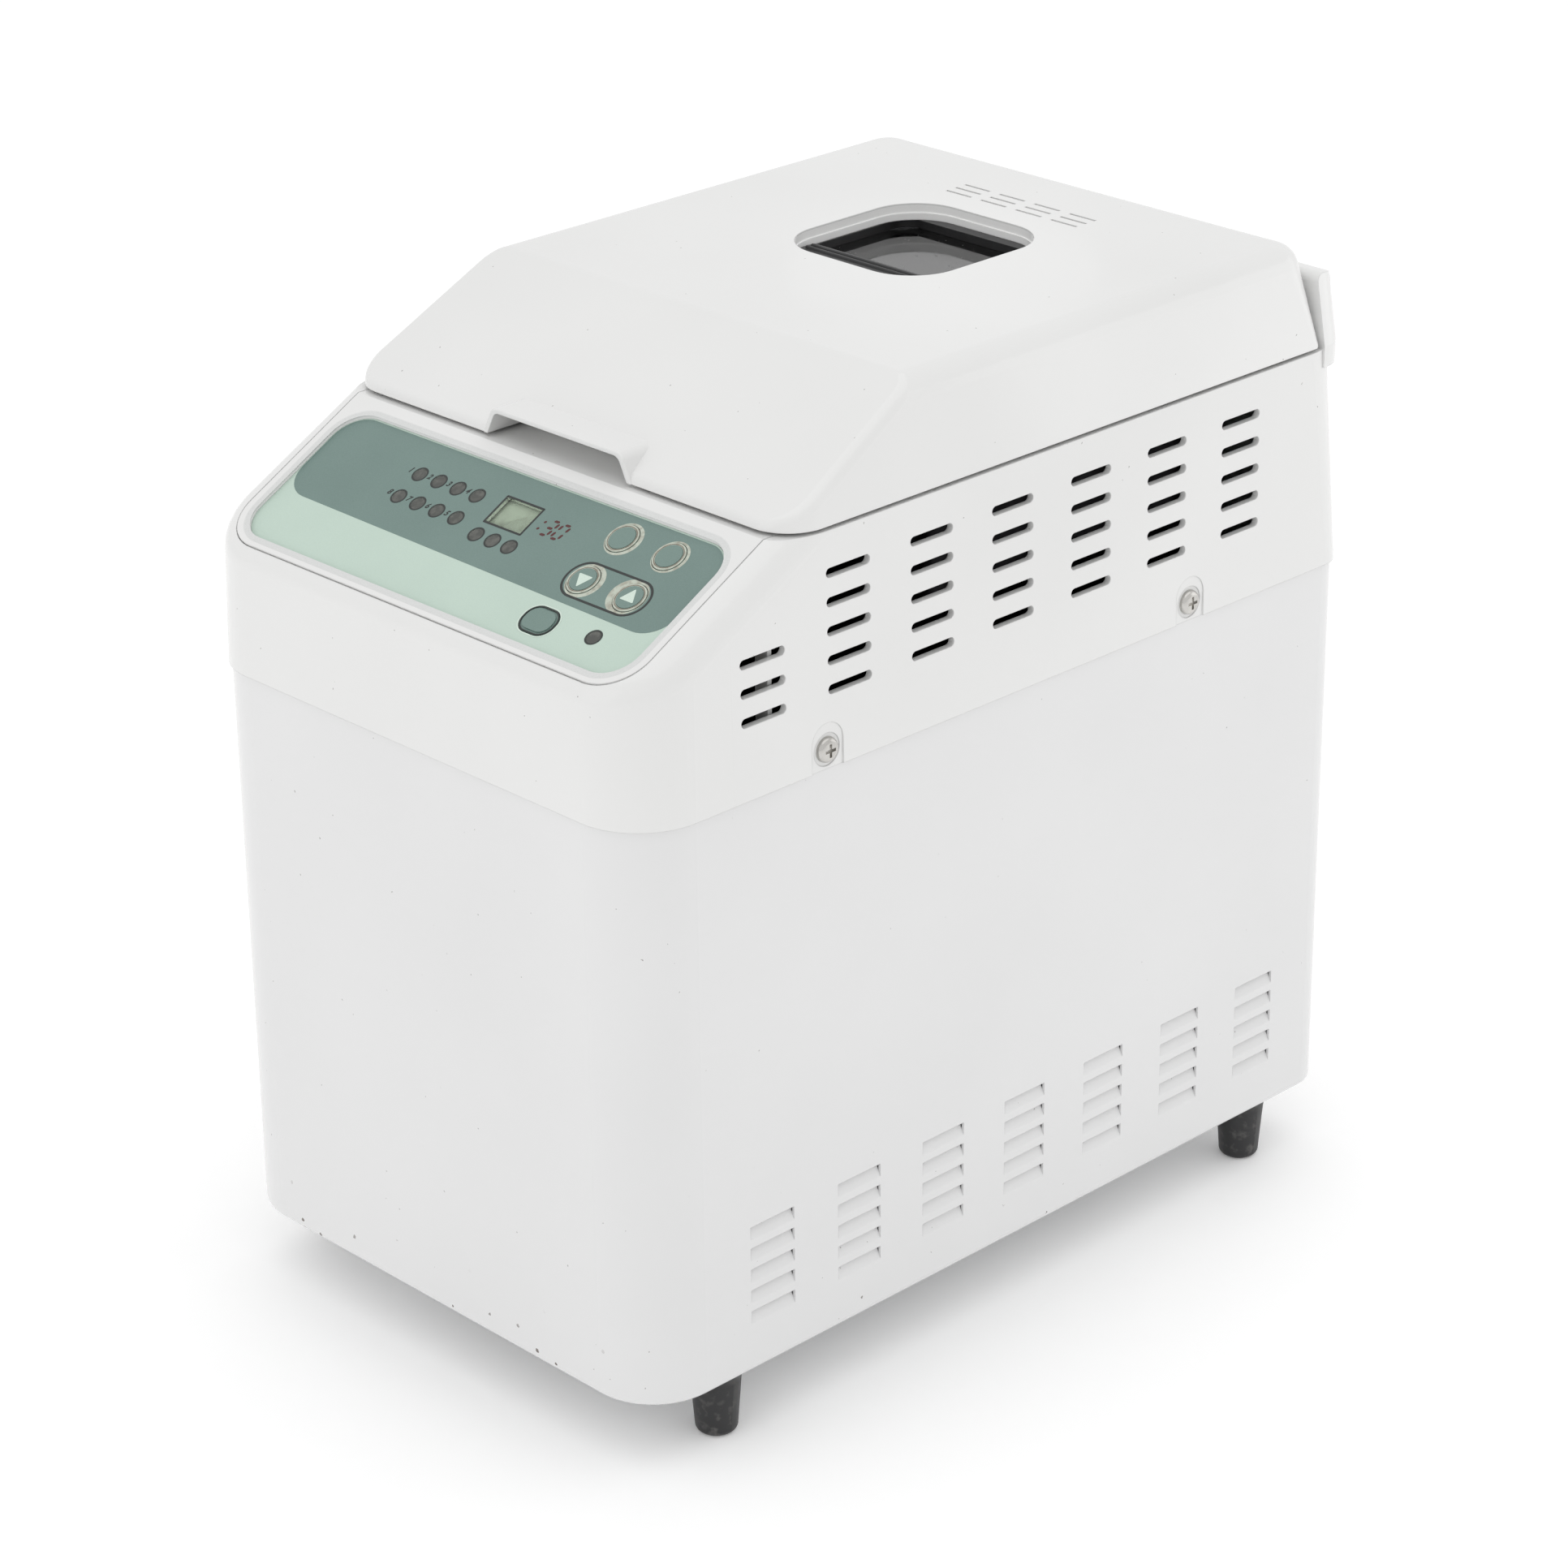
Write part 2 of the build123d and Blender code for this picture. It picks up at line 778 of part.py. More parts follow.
def start_outline(grow):
    return RectangleRounded(start_width + 2 * grow, start_length + 2 * grow, start_round + grow)


def display_outline(grow=0.0):
    return Rectangle(display_width + 2 * grow, display_length + 2 * grow)


def panel_holes(grow, top, bottom):
    """Holes for lamps, display and buttons through the film or the bezel."""
    lamp_hole = Circle(lamp_diameter / 2 + grow)
    button_hole = Circle(button_diameter / 2 + fit_gap)
    holes = [panel_plug(lamp_hole, place, top, bottom) for place in lamp_places()]
    holes += [panel_plug(button_hole, place, top, bottom) for place in round_button_places()]
    holes.append(panel_plug(start_outline(fit_gap), spot(start_share), top, bottom))
    holes.append(panel_plug(display_outline(grow), spot(display_share), top, bottom))
    return holes


def board_posts():
    """Middles of the posts that carry the control board."""
    across = panel_width / 2 - post_inset
    return [(x, y) for x in (-across, across) for y in (post_inset, panel_length - post_inset)]


def board_screw_hole(place, top, bottom):
    return panel_plug(Circle(board_screw_shank / 2 + hole_gap), place, top, bottom)


def panel_bezel():
    """The folded plate with a well for the film and posts for the board behind."""
    bezel = bezel_plate(0) + film_plug(well_wall, bezel_thick / 2, well_depth)
    middle = (0, panel_length / 2)
    mouth = loft(
        [
            on_panel(film_outline(0.1), middle, film_sink),
            on_panel(film_outline(2 * film_flare), middle, -film_sink),
        ]
    )
    bezel -= mouth
    bezel -= film_plug(0.1, 0, film_sink + film)
    for place in board_posts():
        bezel += panel_plug(Circle(post_radius), place, well_depth - sheet, board_depth)
        bezel -= board_screw_hole(place, board_depth / 2, board_depth + 1)
    return bezel - panel_holes(0.1, -2, well_depth + 1)


def panel_overlay():
    return film_plug(0, film_sink, film_sink + film) - panel_holes(0.1, -2, film_sink + 2)


def lamp(place):
    """A lamp that stands on the board and ends flush with the film."""
    lens = panel_plug(Circle(lamp_diameter / 2), place, film_sink, board_depth - sheet)
    return lens + panel_plug(Circle(lamp_diameter / 2 + 0.4), place, board_depth - sheet, board_depth)


def display_window():
    """The clear window over the digits."""
    place = spot(display_share)
    pane = panel_plug(display_outline(), place, film_sink + 0.1, well_depth + sheet)
    return pane + panel_plug(display_outline(display_rim), place, well_depth, well_depth + sheet)


def display_module():
    """The digit block between the window and the board."""
    return panel_plug(display_outline(2), spot(display_share), well_depth + sheet, board_depth)


def control_board():
    outline = Rectangle(panel_width - 2 * board_margin, panel_length - 2 * board_margin)
    board = panel_plug(outline, (0, panel_length / 2), board_depth, board_depth + board_thick)
    for place in board_posts():
        board -= board_screw_hole(place, board_depth - 1, board_depth + 5)
    return board


def board_screw(place):
    seat = panel * Pos(place[0], place[1], -board_depth - board_thick)
    screw = pan_head_screw(board_screw_head, board_screw_shank, board_depth / 2 - fit_gap)
    return seat * Rot(180, 0, 0) * screw


def tact_switch(place):
    """A small switch on the board under a button."""
    top = board_depth - switch_height
    base = panel_plug(Rectangle(switch_width, switch_width), place, top, board_depth)
    return base + panel_plug(Circle(0.28 * switch_width), place, top - switch_tip, top)


def button(place, cap, shoulder, flange):
    """A push button: raised cap, shoulder flush with the film, flange under the bezel, and stem."""
    flange_top = well_depth + fit_gap
    stem_end = board_depth - switch_height - switch_tip - button_travel - 0.1
    body = panel_plug(shoulder, place, film_sink, flange_top)
    body += panel_plug(cap, place, film_sink - button_rise, film_sink)
    body += panel_plug(flange, place, flange_top, flange_top + button_flange)
    return body + panel_plug(Circle(2), place, flange_top + button_flange, stem_end)


def round_button(share):
    radius = button_diameter / 2
    return button(spot(share), Circle(button_cap / 2), Circle(radius), Circle(radius + button_flange))


def start_button():
    return button(
        spot(start_share), start_outline(-start_step), start_outline(0), start_outline(button_flange)
    )


# Power supply

def power_bracket():
    """A bent plate on the base, left of the motor, with four pads for the power board."""
    front = motor_y - power_half
    back = motor_y + power_half
    bracket = block(power_x, power_x + sheet, front, back, base_top_z, base_top_z + power_height)
    bracket += block(power_x, power_x + power_flange, front, back, base_top_z, base_top_z + sheet)
    low = base_top_z + power_board_low + power_pad_inset
    high = base_top_z + power_board_low + power_board_height - power_pad_inset
    for y in (front + power_pad_inset, back - power_pad_inset):
        for z in (low, high):
            bracket += cross_rod(power_pad_inset / 2, power_x, power_board_x, y, z)
    return bracket


def power_board():
    low = base_top_z + power_board_low
    return block(
        power_board_x, power_board_x + board_thick,
        motor_y - power_half, motor_y + power_half, low, low + power_board_height,
    )


def on_power_board(size, y, rise):
    """A box on the power board, from its sizes, the place of its middle and its height on the board."""
    x = power_board_x + board_thick
    low = base_top_z + power_board_low + power_part_low + rise
    return block(x, x + size[0], y - size[1] / 2, y + size[1] / 2, low, low + size[2])


def transformer():
    """A small mains transformer: stacked core with a coil on each face."""
    y = motor_y - power_half / 2 + sheet
    rise = (transformer_core[2] - transformer_coil[2]) / 2
    return on_power_board(transformer_core, y, 0) + on_power_board(transformer_coil, y, rise)


def relay():
    return on_power_board(relay_size, motor_y + power_half / 2, 0)


# Oven

def oven_chamber():
    outside = square(oven_half + sheet, oven_round + sheet, oven_y)
    shell = column(outside, oven_floor_z - sheet, deck_z + sheet)
    shell = fillet(shell.faces().sort_by(Axis.Z)[0].edges(), oven_foot_round)
    cavity = column(square(oven_half, oven_round, oven_y), oven_floor_z, deck_z + 5)
    cavity = fillet(cavity.faces().sort_by(Axis.Z)[0].edges(), oven_foot_round - sheet)
    reach = oven_half + sheet + oven_rim
    shell += column(square(reach, oven_round + oven_rim, oven_y), deck_z, deck_z + sheet)
    shell -= cavity
    shell -= rod(oven_hole, oven_floor_z - 5, oven_floor_z + 5, 0, oven_y)
    for x in (-terminal_half, terminal_half):
        shell -= front_hole(bushing_radius + 0.1, x, element_z)
    return shell - front_hole(sensor_radius + hole_gap, sensor_side, sensor_z)


def front_hole(radius, x, z):
    """A hole through the front wall of the chamber."""
    return Pos(x, oven_front, z) * Rot(90, 0, 0) * Cylinder(radius, 12)


def heating_element():
    """A tube bent round the foot of the pan, its ends going out through the front wall."""
    near = oven_y - element_half
    back = oven_y + element_half
    end = oven_front - terminal_reach
    join = (terminal_half + element_half) / 2
    ring = [(join, near), (element_half, near), (element_half, back)]
    ring += [(-x, y) for x, y in reversed(ring)]
    right_end = [(terminal_half, end), (terminal_half, near), (join, near)]
    left_end = [(-x, y) for x, y in reversed(right_end)]
    runs = ((right_end, terminal_bend), (ring, element_round), (left_end, terminal_bend))
    edges = []
    for points, bend in runs:
        edges += FilletPolyline([(x, y, element_z) for x, y in points], radius=bend).edges()
    path = Wire(edges)
    start = Plane(origin=path @ 0, z_dir=path % 0)
    return sweep(start * Circle(element_radius), path)


def element_bushing(x):
    """A ceramic bush that holds an element end in the wall."""
    turn = Pos(x, oven_front, element_z) * Rot(90, 0, 0)
    bush = turn * Pos(0, 0, -2 * sheet) * Cylinder(bushing_radius, 12 * sheet, align=LOW)
    bush += turn * Pos(0, 0, sheet + 0.1) * Cylinder(bushing_flange, 4 * sheet, align=LOW)
    return bush - turn * Cylinder(element_radius + hole_gap, far)


def element_bracket():
    """A shelf on the right-hand wall under the element."""
    wall_x = oven_half - 0.05
    front = oven_y - bracket_half
    back = oven_y + bracket_half
    shelf_z = element_z - element_radius - fit_gap
    shelf = block(element_half - bracket_half, wall_x, front, back, shelf_z - sheet, shelf_z)
    return shelf + block(wall_x - sheet, wall_x, front, back, shelf_z - 2 * bracket_half, shelf_z)


def element_brackets():
    right = element_bracket()
    turn = Pos(0, oven_y) * Rot(0, 0, 90) * Pos(0, -oven_y)
    return both_sides(right) + [turn * right]


def temperature_sensor():
    """A probe through the front wall, held by its flange outside."""
    turn = Pos(sensor_side, oven_front, sensor_z) * Rot(90, 0, 0)
    probe = turn * Pos(0, 0, -3 * sensor_radius) * Cylinder(sensor_radius, 7 * sensor_radius, align=LOW)
    return probe + turn * Pos(0, 0, sheet + 0.05) * Cylinder(2.3 * sensor_radius, sensor_radius, align=LOW)


def pan_clip(angle):
    """A spring clip on the chamber floor beside the pan's base ring."""
    inner = base_ring_radius + fit_gap
    foot_top_z = oven_floor_z + sheet
    clip = block(inner, inner + sheet, -clip_half, clip_half, oven_floor_z, oven_floor_z + clip_height)
    clip += block(inner, inner + clip_foot, -clip_half, clip_half, oven_floor_z, foot_top_z)
    clip += rod(clip_half / 2, foot_top_z, foot_top_z + sheet, inner + 0.6 * clip_foot, 0)
    return Pos(0, oven_y) * Rot(0, 0, angle) * clip


# Pan

def pan_form(inset):
    """The pan's tapered form, moved in by its wall."""
    low_half = pan_half - pan_taper - inset
    form = loft(
        [
            Pos(0, 0, pan_bottom_z + inset) * square(low_half, pan_round - inset, oven_y),
            Pos(0, 0, pan_rim_z) * square(pan_half - inset, pan_round - inset, oven_y),
        ]
    )
    return fillet(form.faces().sort_by(Axis.Z)[0].edges(), pan_foot_round - inset)


def bread_pan():
    """The pan with its rolled rim and the two ribs that turn the dough."""
    rim = square(pan_half + pan_lip, pan_round + pan_lip, oven_y)
    outside = pan_form(0)
    pan = outside + column(rim, pan_rim_z - pan_lip, pan_rim_z)
    pan -= pan_form(pan_wall)
    reach = pan_half - pan_taper / 2 - pan_wall
    for y in (oven_y - reach, oven_y + reach):
        pan += rod(pan_rib, pan_bottom_z + pan_rib_low, pan_rim_z - pan_rib_high, 0, y) & outside
    return pan - rod(bearing_radius + hole_gap, pan_bottom_z - 1, pan_bottom_z + 5, 0, oven_y)


def pan_base_ring():
    """The cast ring the pan stands on."""
    ring = rod(base_ring_radius, oven_floor_z + base_ring_gap, pan_bottom_z, 0, oven_y)
    ring -= rod(base_ring_radius - base_ring_wall, oven_floor_z, pan_bottom_z - 2 * sheet, 0, oven_y)
    return ring - rod(base_ring_bore, oven_floor_z, pan_bottom_z + 1, 0, oven_y)


def pan_bearing():
    """The bush riveted in the pan's bottom."""
    low = wing_high_z + 1.5 * sheet
    floor = pan_bottom_z + pan_wall
    bush = rod(bearing_radius, low, pan_bottom_z + bearing_radius, 0, oven_y)
    bush += rod(bearing_flange, floor, floor + 2 * sheet, 0, oven_y)
    bush += rod(bearing_flange, pan_bottom_z - 2.5 * sheet, pan_bottom_z, 0, oven_y)
    return bush - rod(shaft_radius + running_gap, 0, far, 0, oven_y)


def shaft_seal():
    low = pan_bottom_z + bearing_radius
    seal = rod(bearing_radius, low, low + seal_height, 0, oven_y)
    return seal - rod(shaft_radius + running_gap, 0, far, 0, oven_y)


def handle_bracket():
    """The plate on the right of the rim that carries the handle."""
    inner = pan_half + pan_lip
    outer = inner + handle_plate
    low = handle_z - 2 * handle_ear
    plate = block(inner, outer, oven_y - handle_ear, oven_y + handle_ear, low, handle_z)
    plate += cross_rod(handle_ear, inner, outer, oven_y, handle_z)
    return plate - cross_rod(handle_wire + running_gap, inner - 2, outer + 2, oven_y, handle_z)


def pan_handle():
    """The wire handle, folded back round the rim."""
    tip = pan_half + pan_lip - handle_plate + fit_gap
    far_y = oven_y + handle_reach
    points = [
        (tip, oven_y), (handle_half, oven_y), (handle_half, far_y),
        (-handle_half, far_y), (-handle_half, oven_y), (-tip, oven_y),
    ]
    path = FilletPolyline([(x, y, handle_z) for x, y in points], radius=1.3 * handle_wire)
    start = Plane(origin=path @ 0, z_dir=path % 0)
    return sweep(start * Circle(handle_wire), path)


def pan_shaft():
    """The shaft through the pan: wing below for the drive, flat above for the paddle."""
    shaft = rod(shaft_radius, wing_low_z - sheet / 2, shaft_top_z, 0, oven_y)
    flat_low = pan_bottom_z + paddle_rise - fit_gap
    shaft -= block(shaft_radius - flat_depth, far, oven_y - far, oven_y + far, flat_low, far)
    half = wing_length / 2
    wing = block(-half, half, oven_y - wing_width / 2, oven_y + wing_width / 2, wing_low_z, wing_high_z)
    return shaft + wing + rod(wing_hub, wing_low_z, wing_high_z, 0, oven_y)


def kneading_paddle():
    """A hub on the shaft with one upright blade."""
    low = pan_bottom_z + paddle_rise
    hub = rod(paddle_hub, low, shaft_top_z - shaft_radius, 0, oven_y)
    front = oven_y - paddle_thick / 2
    blade = Polyline(
        (0, front, low),
        (paddle_reach - 4, front, low),
        (paddle_reach, front, low + paddle_toe),
        (paddle_reach - 14, front, low + paddle_tip),
        (0, front, low + paddle_root),
        close=True,
    )
    paddle = hub + extrude(make_face(blade), paddle_thick, dir=(0, 1, 0))
    bore = rod(shaft_radius + running_gap, 0, far, 0, oven_y)
    bore -= block(shaft_radius - flat_depth + running_gap, far, oven_y - far, oven_y + far, 0, far)
    return paddle - bore


# Drive

def frame_half():
    return side_x - frame_side_gap


def frame_posts():
    """Corner posts of the drive frame that stand on the base plate."""
    across = frame_half() - frame_overlap
    rows = (motor_y - frame_lead + frame_overlap, oven_y + frame_tail - frame_overlap)
    return [(x, y) for x in (-across, across) for y in rows]


def oven_posts():
    """Posts of the drive frame that carry the chamber."""
    places = (-oven_post_half, oven_post_half)
    return [(x, oven_y + y) for x in places for y in places]


def drive_frame():
    half = frame_half()
    plate = block(-half, half, motor_y - frame_lead, oven_y + frame_tail, frame_z, frame_top_z)
    for x, y in frame_posts():
        plate += rod(frame_post, base_top_z, frame_z, x, y)
    for x, y in oven_posts():
        plate += rod(frame_post, frame_top_z, oven_floor_z - sheet, x, y)
    plate -= rod(motor_boss + 1, frame_z - 1, frame_top_z + 1, 0, motor_y)
    return plate - rod(bearing_outer + hole_gap, frame_z - 1, frame_top_z + 1, 0, oven_y)


def drive_bearing():
    """The long bush that carries the drive shaft."""
    bush = rod(bearing_outer, frame_z - 4, frame_top_z + bearing_ring, 0, oven_y)
    bush += rod(bearing_ring, frame_top_z, frame_top_z + frame_thick, 0, oven_y)
    return bush - rod(shaft_radius + running_gap, 0, far, 0, oven_y)


def drive_shaft():
    return rod(shaft_radius, pulley_low_z - shaft_radius, oven_floor_z + 3.5 * sheet, 0, oven_y)


def pulley(radius, y):
    """A flanged belt wheel on a hub."""
    wheel = rod(radius, pulley_low_z, pulley_high_z, 0, y)
    wheel += rod(radius + pulley_rim, pulley_low_z, pulley_low_z + sheet, 0, y)
    wheel += rod(radius + pulley_rim, pulley_high_z - sheet, pulley_high_z, 0, y)
    wheel += rod(min(radius, pulley_hub), pulley_low_z - 2 * sheet, pulley_high_z + 2 * sheet, 0, y)
    return wheel - rod(shaft_radius + hole_gap, 0, far, 0, y)


def drive_pulley():
    """The large wheel, lightened by a ring of holes."""
    wheel = pulley(big_pulley, oven_y)
    for number in range(pulley_holes):
        place = Pos(0, oven_y) * Rot(0, 0, 360 * number / pulley_holes) * Pos(pulley_hole_ring, 0)
        wheel -= place * rod(pulley_hole, 0, far)
    return wheel


def drive_belt():
    """A flat belt round both wheels."""
    def loop(grow):
        circles = Pos(0, oven_y) * Circle(big_pulley + grow) + Pos(0, motor_y) * Circle(small_pulley + grow)
        return make_hull(circles.edges())

    band = loop(belt_gap + belt_thick) - loop(belt_gap)
    return column(band, pulley_low_z + 1.5 * sheet, pulley_high_z - 1.5 * sheet)


def drive_coupling():
    """The driver in the chamber: a disc with two dogs that push the pan's wing."""
    low = oven_floor_z + 2 * fit_gap
    top = low + dog_radius
    disc = rod(coupling_radius, low, top, 0, oven_y)
    offset = wing_width / 2 + dog_radius + fit_gap
    for side in (-1, 1):
        disc += rod(dog_radius, top, wing_high_z + sheet, side * dog_ring, oven_y + side * offset)
    return disc - rod(shaft_radius + hole_gap, 0, far, 0, oven_y)


def motor_body():
    """The motor on the drive frame, shaft down."""
    high = frame_top_z + motor_height
    body = rod(motor_radius, frame_top_z + motor_step, high - motor_step, 0, motor_y)
    body += rod(motor_radius - motor_step / 2, frame_top_z, high, 0, motor_y)
    body += rod(motor_boss, frame_top_z - 2 * sheet, high + shaft_radius, 0, motor_y)
    return body - rod(shaft_radius + running_gap, 0, far, 0, motor_y)


def motor_shaft():
    high = frame_top_z + motor_height + 2 * shaft_radius
    return rod(shaft_radius, pulley_low_z - shaft_radius, high, 0, motor_y)


# Lid

def lid_block(inset):
    """The lid's outer form, moved in by a wall thickness."""
    levels = []
    for height in (lid_z - (1 if inset else 0), top_z - inset):
        share = (height - lid_z) / lid_height
        back_round = lid_back_round_low + (lid_back_round_high - lid_back_round_low) * share
        outline = plan(
            lid_half - inset - lid_lean * share,
            lid_front + inset,
            lid_back - inset - lid_back_lean * share,
            lid_front_round - inset,
            max(back_round - inset, hole_gap),
        )
        levels.append(Pos(0, 0, height) * outline)
    form = loft(levels)
    top = form.faces().sort_by(Axis.Z)[-1]
    front_edge = top.edges().sort_by(Axis.Y)[0]
    edges = [edge for edge in top.edges() if edge.center().Y > front_edge.center().Y + 20]
    form = fillet(edges, lid_top_round - inset)
    return form - lid_slope * Pos(0, 0, -inset) * Box(far, far, far, align=LOW)


def lid_outer():
    """The lid's outside: creases round the slope, a fine front edge and a rounded heel."""
    form = lid_block(0)
    face = max(form.faces(), key=lambda f: f.normal_at().dot(panel.z_dir))
    low = lid_z + lid_lip + lid_front_round * slope
    form = fillet([edge for edge in face.edges() if edge.center().Z > low], lid_crease_round)
    axis_y = lid_back - lid_heel_round
    axis_z = lid_z + lid_heel_round
    heel = block(-far, far, axis_y, far, lid_z - 5, axis_z)
    return form - (heel - cross_rod(lid_heel_round, -far, far, axis_y, axis_z))


def hood(inset, y0, y1):
    """The finger hood's form, from its front lip to its back wall."""
    high = lid_z + hood_rise - inset
    low = lid_z - (1 if inset else 0)
    section = Polyline(
        (-hood_base / 2 + inset, y0, low),
        (-hood_top / 2 + inset, y0, high),
        (hood_top / 2 - inset, y0, high),
        (hood_base / 2 - inset, y0, low),
        close=True,
    )
    form = extrude(make_face(section), y1 - y0, dir=(0, 1, 0))
    ridge = form.edges().filter_by(Axis.Y).sort_by(Axis.Z)[-2:]
    return fillet(ridge, hood_round - inset / 2)


def hood_shell():
    """The outside of the hood, its front lip rounded."""
    form = hood(0, lid_front - 0.4, lid_front + hood_depth)
    lip = form.faces().sort_by(Axis.Y)[0]
    return fillet([edge for edge in lip.edges() if edge.center().Z > lid_z + 0.1], hood_lip_round)


def lid_vents():
    slots = []
    for group in range(lid_vent_groups):
        x = (group - (lid_vent_groups - 1) / 2) * lid_vent_pitch
        for row in range(lid_vent_rows):
            y = lid_vent_y + (row - (lid_vent_rows - 1) / 2) * lid_vent_row_pitch
            slots.append(Pos(x, y, top_z) * Box(lid_vent_length, lid_vent_width, 4 * wall))
    return slots


def liner_screw_places():
    """Screws at the liner's rounded corners."""
    reach = liner_half + sheet - liner_ear_inset
    return [(x, oven_y + y) for x in (-reach, reach) for y in (-reach, reach)]


def liner_screw_hole(x, y):
    return rod(board_screw_shank / 2 + hole_gap, liner_z - 1, liner_z + 12, x, y)


def lid_lug():
    """The right-hand barrel that swings on the hinge pin, with its web to the lid."""
    right = deck_half - boss_width - fit_gap
    left = right - lug_width
    web = 0.75 * lug_radius
    lug = cross_rod(lug_radius, left, right, hinge_y, hinge_z)
    return lug + block(left, right, lid_back - wall, hinge_y, hinge_z - web, hinge_z + web)


def window_hole(grow, low, high):
    outline = RectangleRounded(window_width + 2 * grow, window_length + 2 * grow, window_round + grow)
    return column(Pos(0, window_y) * outline, low, high)


def lid_shell():
    inside = lid_block(wall)
    inside -= block(-far, far, lid_back - lid_heel_round - wall, far, 0, lid_z + lid_heel_round + 1)
    shell = lid_outer() - inside + hood_shell()
    shell -= hood(hood_wall, lid_front - 20, lid_front + hood_depth - hood_wall)
    shell += window_hole(window_collar, collar_z, top_z - wall / 2)
    shell -= window_hole(0, top_z - window_step_depth, top_z + 5)
    shell -= window_hole(-window_step, collar_z - 20, top_z + 5)
    shell -= lid_vents()
    room = lid_block(wall / 2)
    for x, y in liner_screw_places():
        shell += rod(lid_post, liner_z + sheet, top_z, x, y) & room
        shell -= liner_screw_hole(x, y)
    shell += both_sides(lid_lug())
    bore = cross_rod(pin_radius + running_gap, 0, deck_half - boss_width, hinge_y, hinge_z)
    return shell - both_sides(bore)


def lid_liner():
    """The metal tray under the lid, over the pan."""
    tray = column(square(liner_half + sheet, oven_round, oven_y), liner_z, liner_top_z)
    tray = fillet(tray.faces().sort_by(Axis.Z)[-1].edges(), liner_edge_round)
    cavity = column(square(liner_half, oven_round - sheet, oven_y), liner_z - 1, liner_top_z - sheet)
    cavity = fillet(cavity.faces().sort_by(Axis.Z)[-1].edges(), liner_edge_round - sheet)
    rim = column(square(liner_half + sheet + liner_rim, oven_round, oven_y), liner_z, liner_z + sheet)
    for x, y in liner_screw_places():
        rim += rod(liner_ear, liner_z, liner_z + sheet, x, y)
    tray = tray + rim - cavity
    for x, y in liner_screw_places():
        tray -= liner_screw_hole(x, y)
    for group in range(lid_vent_groups):
        x = (group - (lid_vent_groups - 1) / 2) * lid_vent_pitch
        tray -= rod(liner_vent, liner_z, far, x, lid_vent_y)
    return tray - window_hole(-glass_frame_side, liner_z, far)


def liner_screw(x, y):
    return Pos(x, y, liner_z) * Rot(180, 0, 0) * pan_head_screw(board_screw_head, board_screw_shank, 9)


def window_frame():
    """The dark frame under the lid's collar: narrow sides, wide ridged bar in front, plain bar behind."""
    frame = window_hole(glass_frame_cover, glass_z, collar_z)
    front = window_y - window_length / 2
    low = front + glass_frame_front
    high = window_y + window_length / 2 - glass_frame_back
    width = window_width - 2 * glass_frame_side
    opening = Pos(0, (low + high) / 2) * RectangleRounded(width, high - low, glass_frame_round)
    half = width / 2 - glass_frame_round
    for place in glass_frame_beads:
        frame += cross_rod(glass_frame_bead, -half, half, front + place, collar_z)
    return frame - column(opening, glass_z - 1, collar_z + 5)


def window_glass():
    return window_hole(glass_frame_cover / 2, glass_z - glass_thick, glass_z)


def hinge_pin():
    """The right-hand pin, fixed in the boss."""
    left = deck_half - boss_width - fit_gap - lug_width
    return cross_rod(pin_radius, left, deck_half - pin_cover, hinge_y, hinge_z)


# Nodes that stand still
save("lower_case", lower_case())
save("base_plate", base_plate())
save("rubber_feet", *[rubber_foot(x, y) for x, y in foot_places()])
save("foot_screws", *[foot_screw(x, y) for x, y in foot_places()])
save("cord_gland", cord_gland())
save("upper_housing", upper_housing())
side_screws = []
for place in side_screw_rows():
    side_screws += both_sides(side_screw(place))
save("side_screws", *side_screws)
save("panel_bezel", panel_bezel())
save("panel_overlay", panel_overlay())
save("indicator_lamps", *[lamp(place) for place in lamp_places()])
save("display_window", display_window())
save("display_module", display_module())
save("control_board", control_board())
save("board_screws", *[board_screw(place) for place in board_posts()])
save("tact_switches", *[tact_switch(place) for place in round_button_places() + [spot(start_share)]])
save("power_bracket", power_bracket())
save("power_board", power_board())
save("transformer", transformer())
save("relay", relay())
save("oven_chamber", oven_chamber())
save("heating_element", heating_element())
save("element_bushings", element_bushing(-terminal_half), element_bushing(terminal_half))
save("element_brackets", *element_brackets())
save("temperature_sensor", temperature_sensor())
save("pan_clips", *[pan_clip(angle) for angle in clip_angles])
save("drive_frame", drive_frame())
save("drive_bearing", drive_bearing())
save("drive_belt", drive_belt())
save("motor_body", motor_body())
save("hinge_pins", *both_sides(hinge_pin()))

# Nodes that move
save("drive_shaft", drive_shaft())
save("drive_pulley", drive_pulley())
save("drive_coupling", drive_coupling())
save("motor_shaft", motor_shaft())
save("motor_pulley", pulley(small_pulley, motor_y))
save("bread_pan", bread_pan())
save("pan_base_ring", pan_base_ring())
save("pan_bearing", pan_bearing())
save("shaft_seal", shaft_seal())
save("handle_brackets", *both_sides(handle_bracket()))
save("pan_handle", pan_handle())
save("pan_shaft", pan_shaft())
save("kneading_paddle", kneading_paddle())
save("menu_button", round_button(menu_share))
save("colour_button", round_button(colour_share))
save("timer_down_button", round_button(timer_down_share))
save("timer_up_button", round_button(timer_up_share))
save("start_button", start_button())
save("lid_shell", lid_shell())
save("lid_liner", lid_liner())
save("window_frame", window_frame())
save("window_glass", window_glass())
save("liner_screws", *[liner_screw(x, y) for x, y in liner_screw_places()])
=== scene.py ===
from math import atan2, cos, radians, sin

import bpy
from mathutils import Matrix, Vector


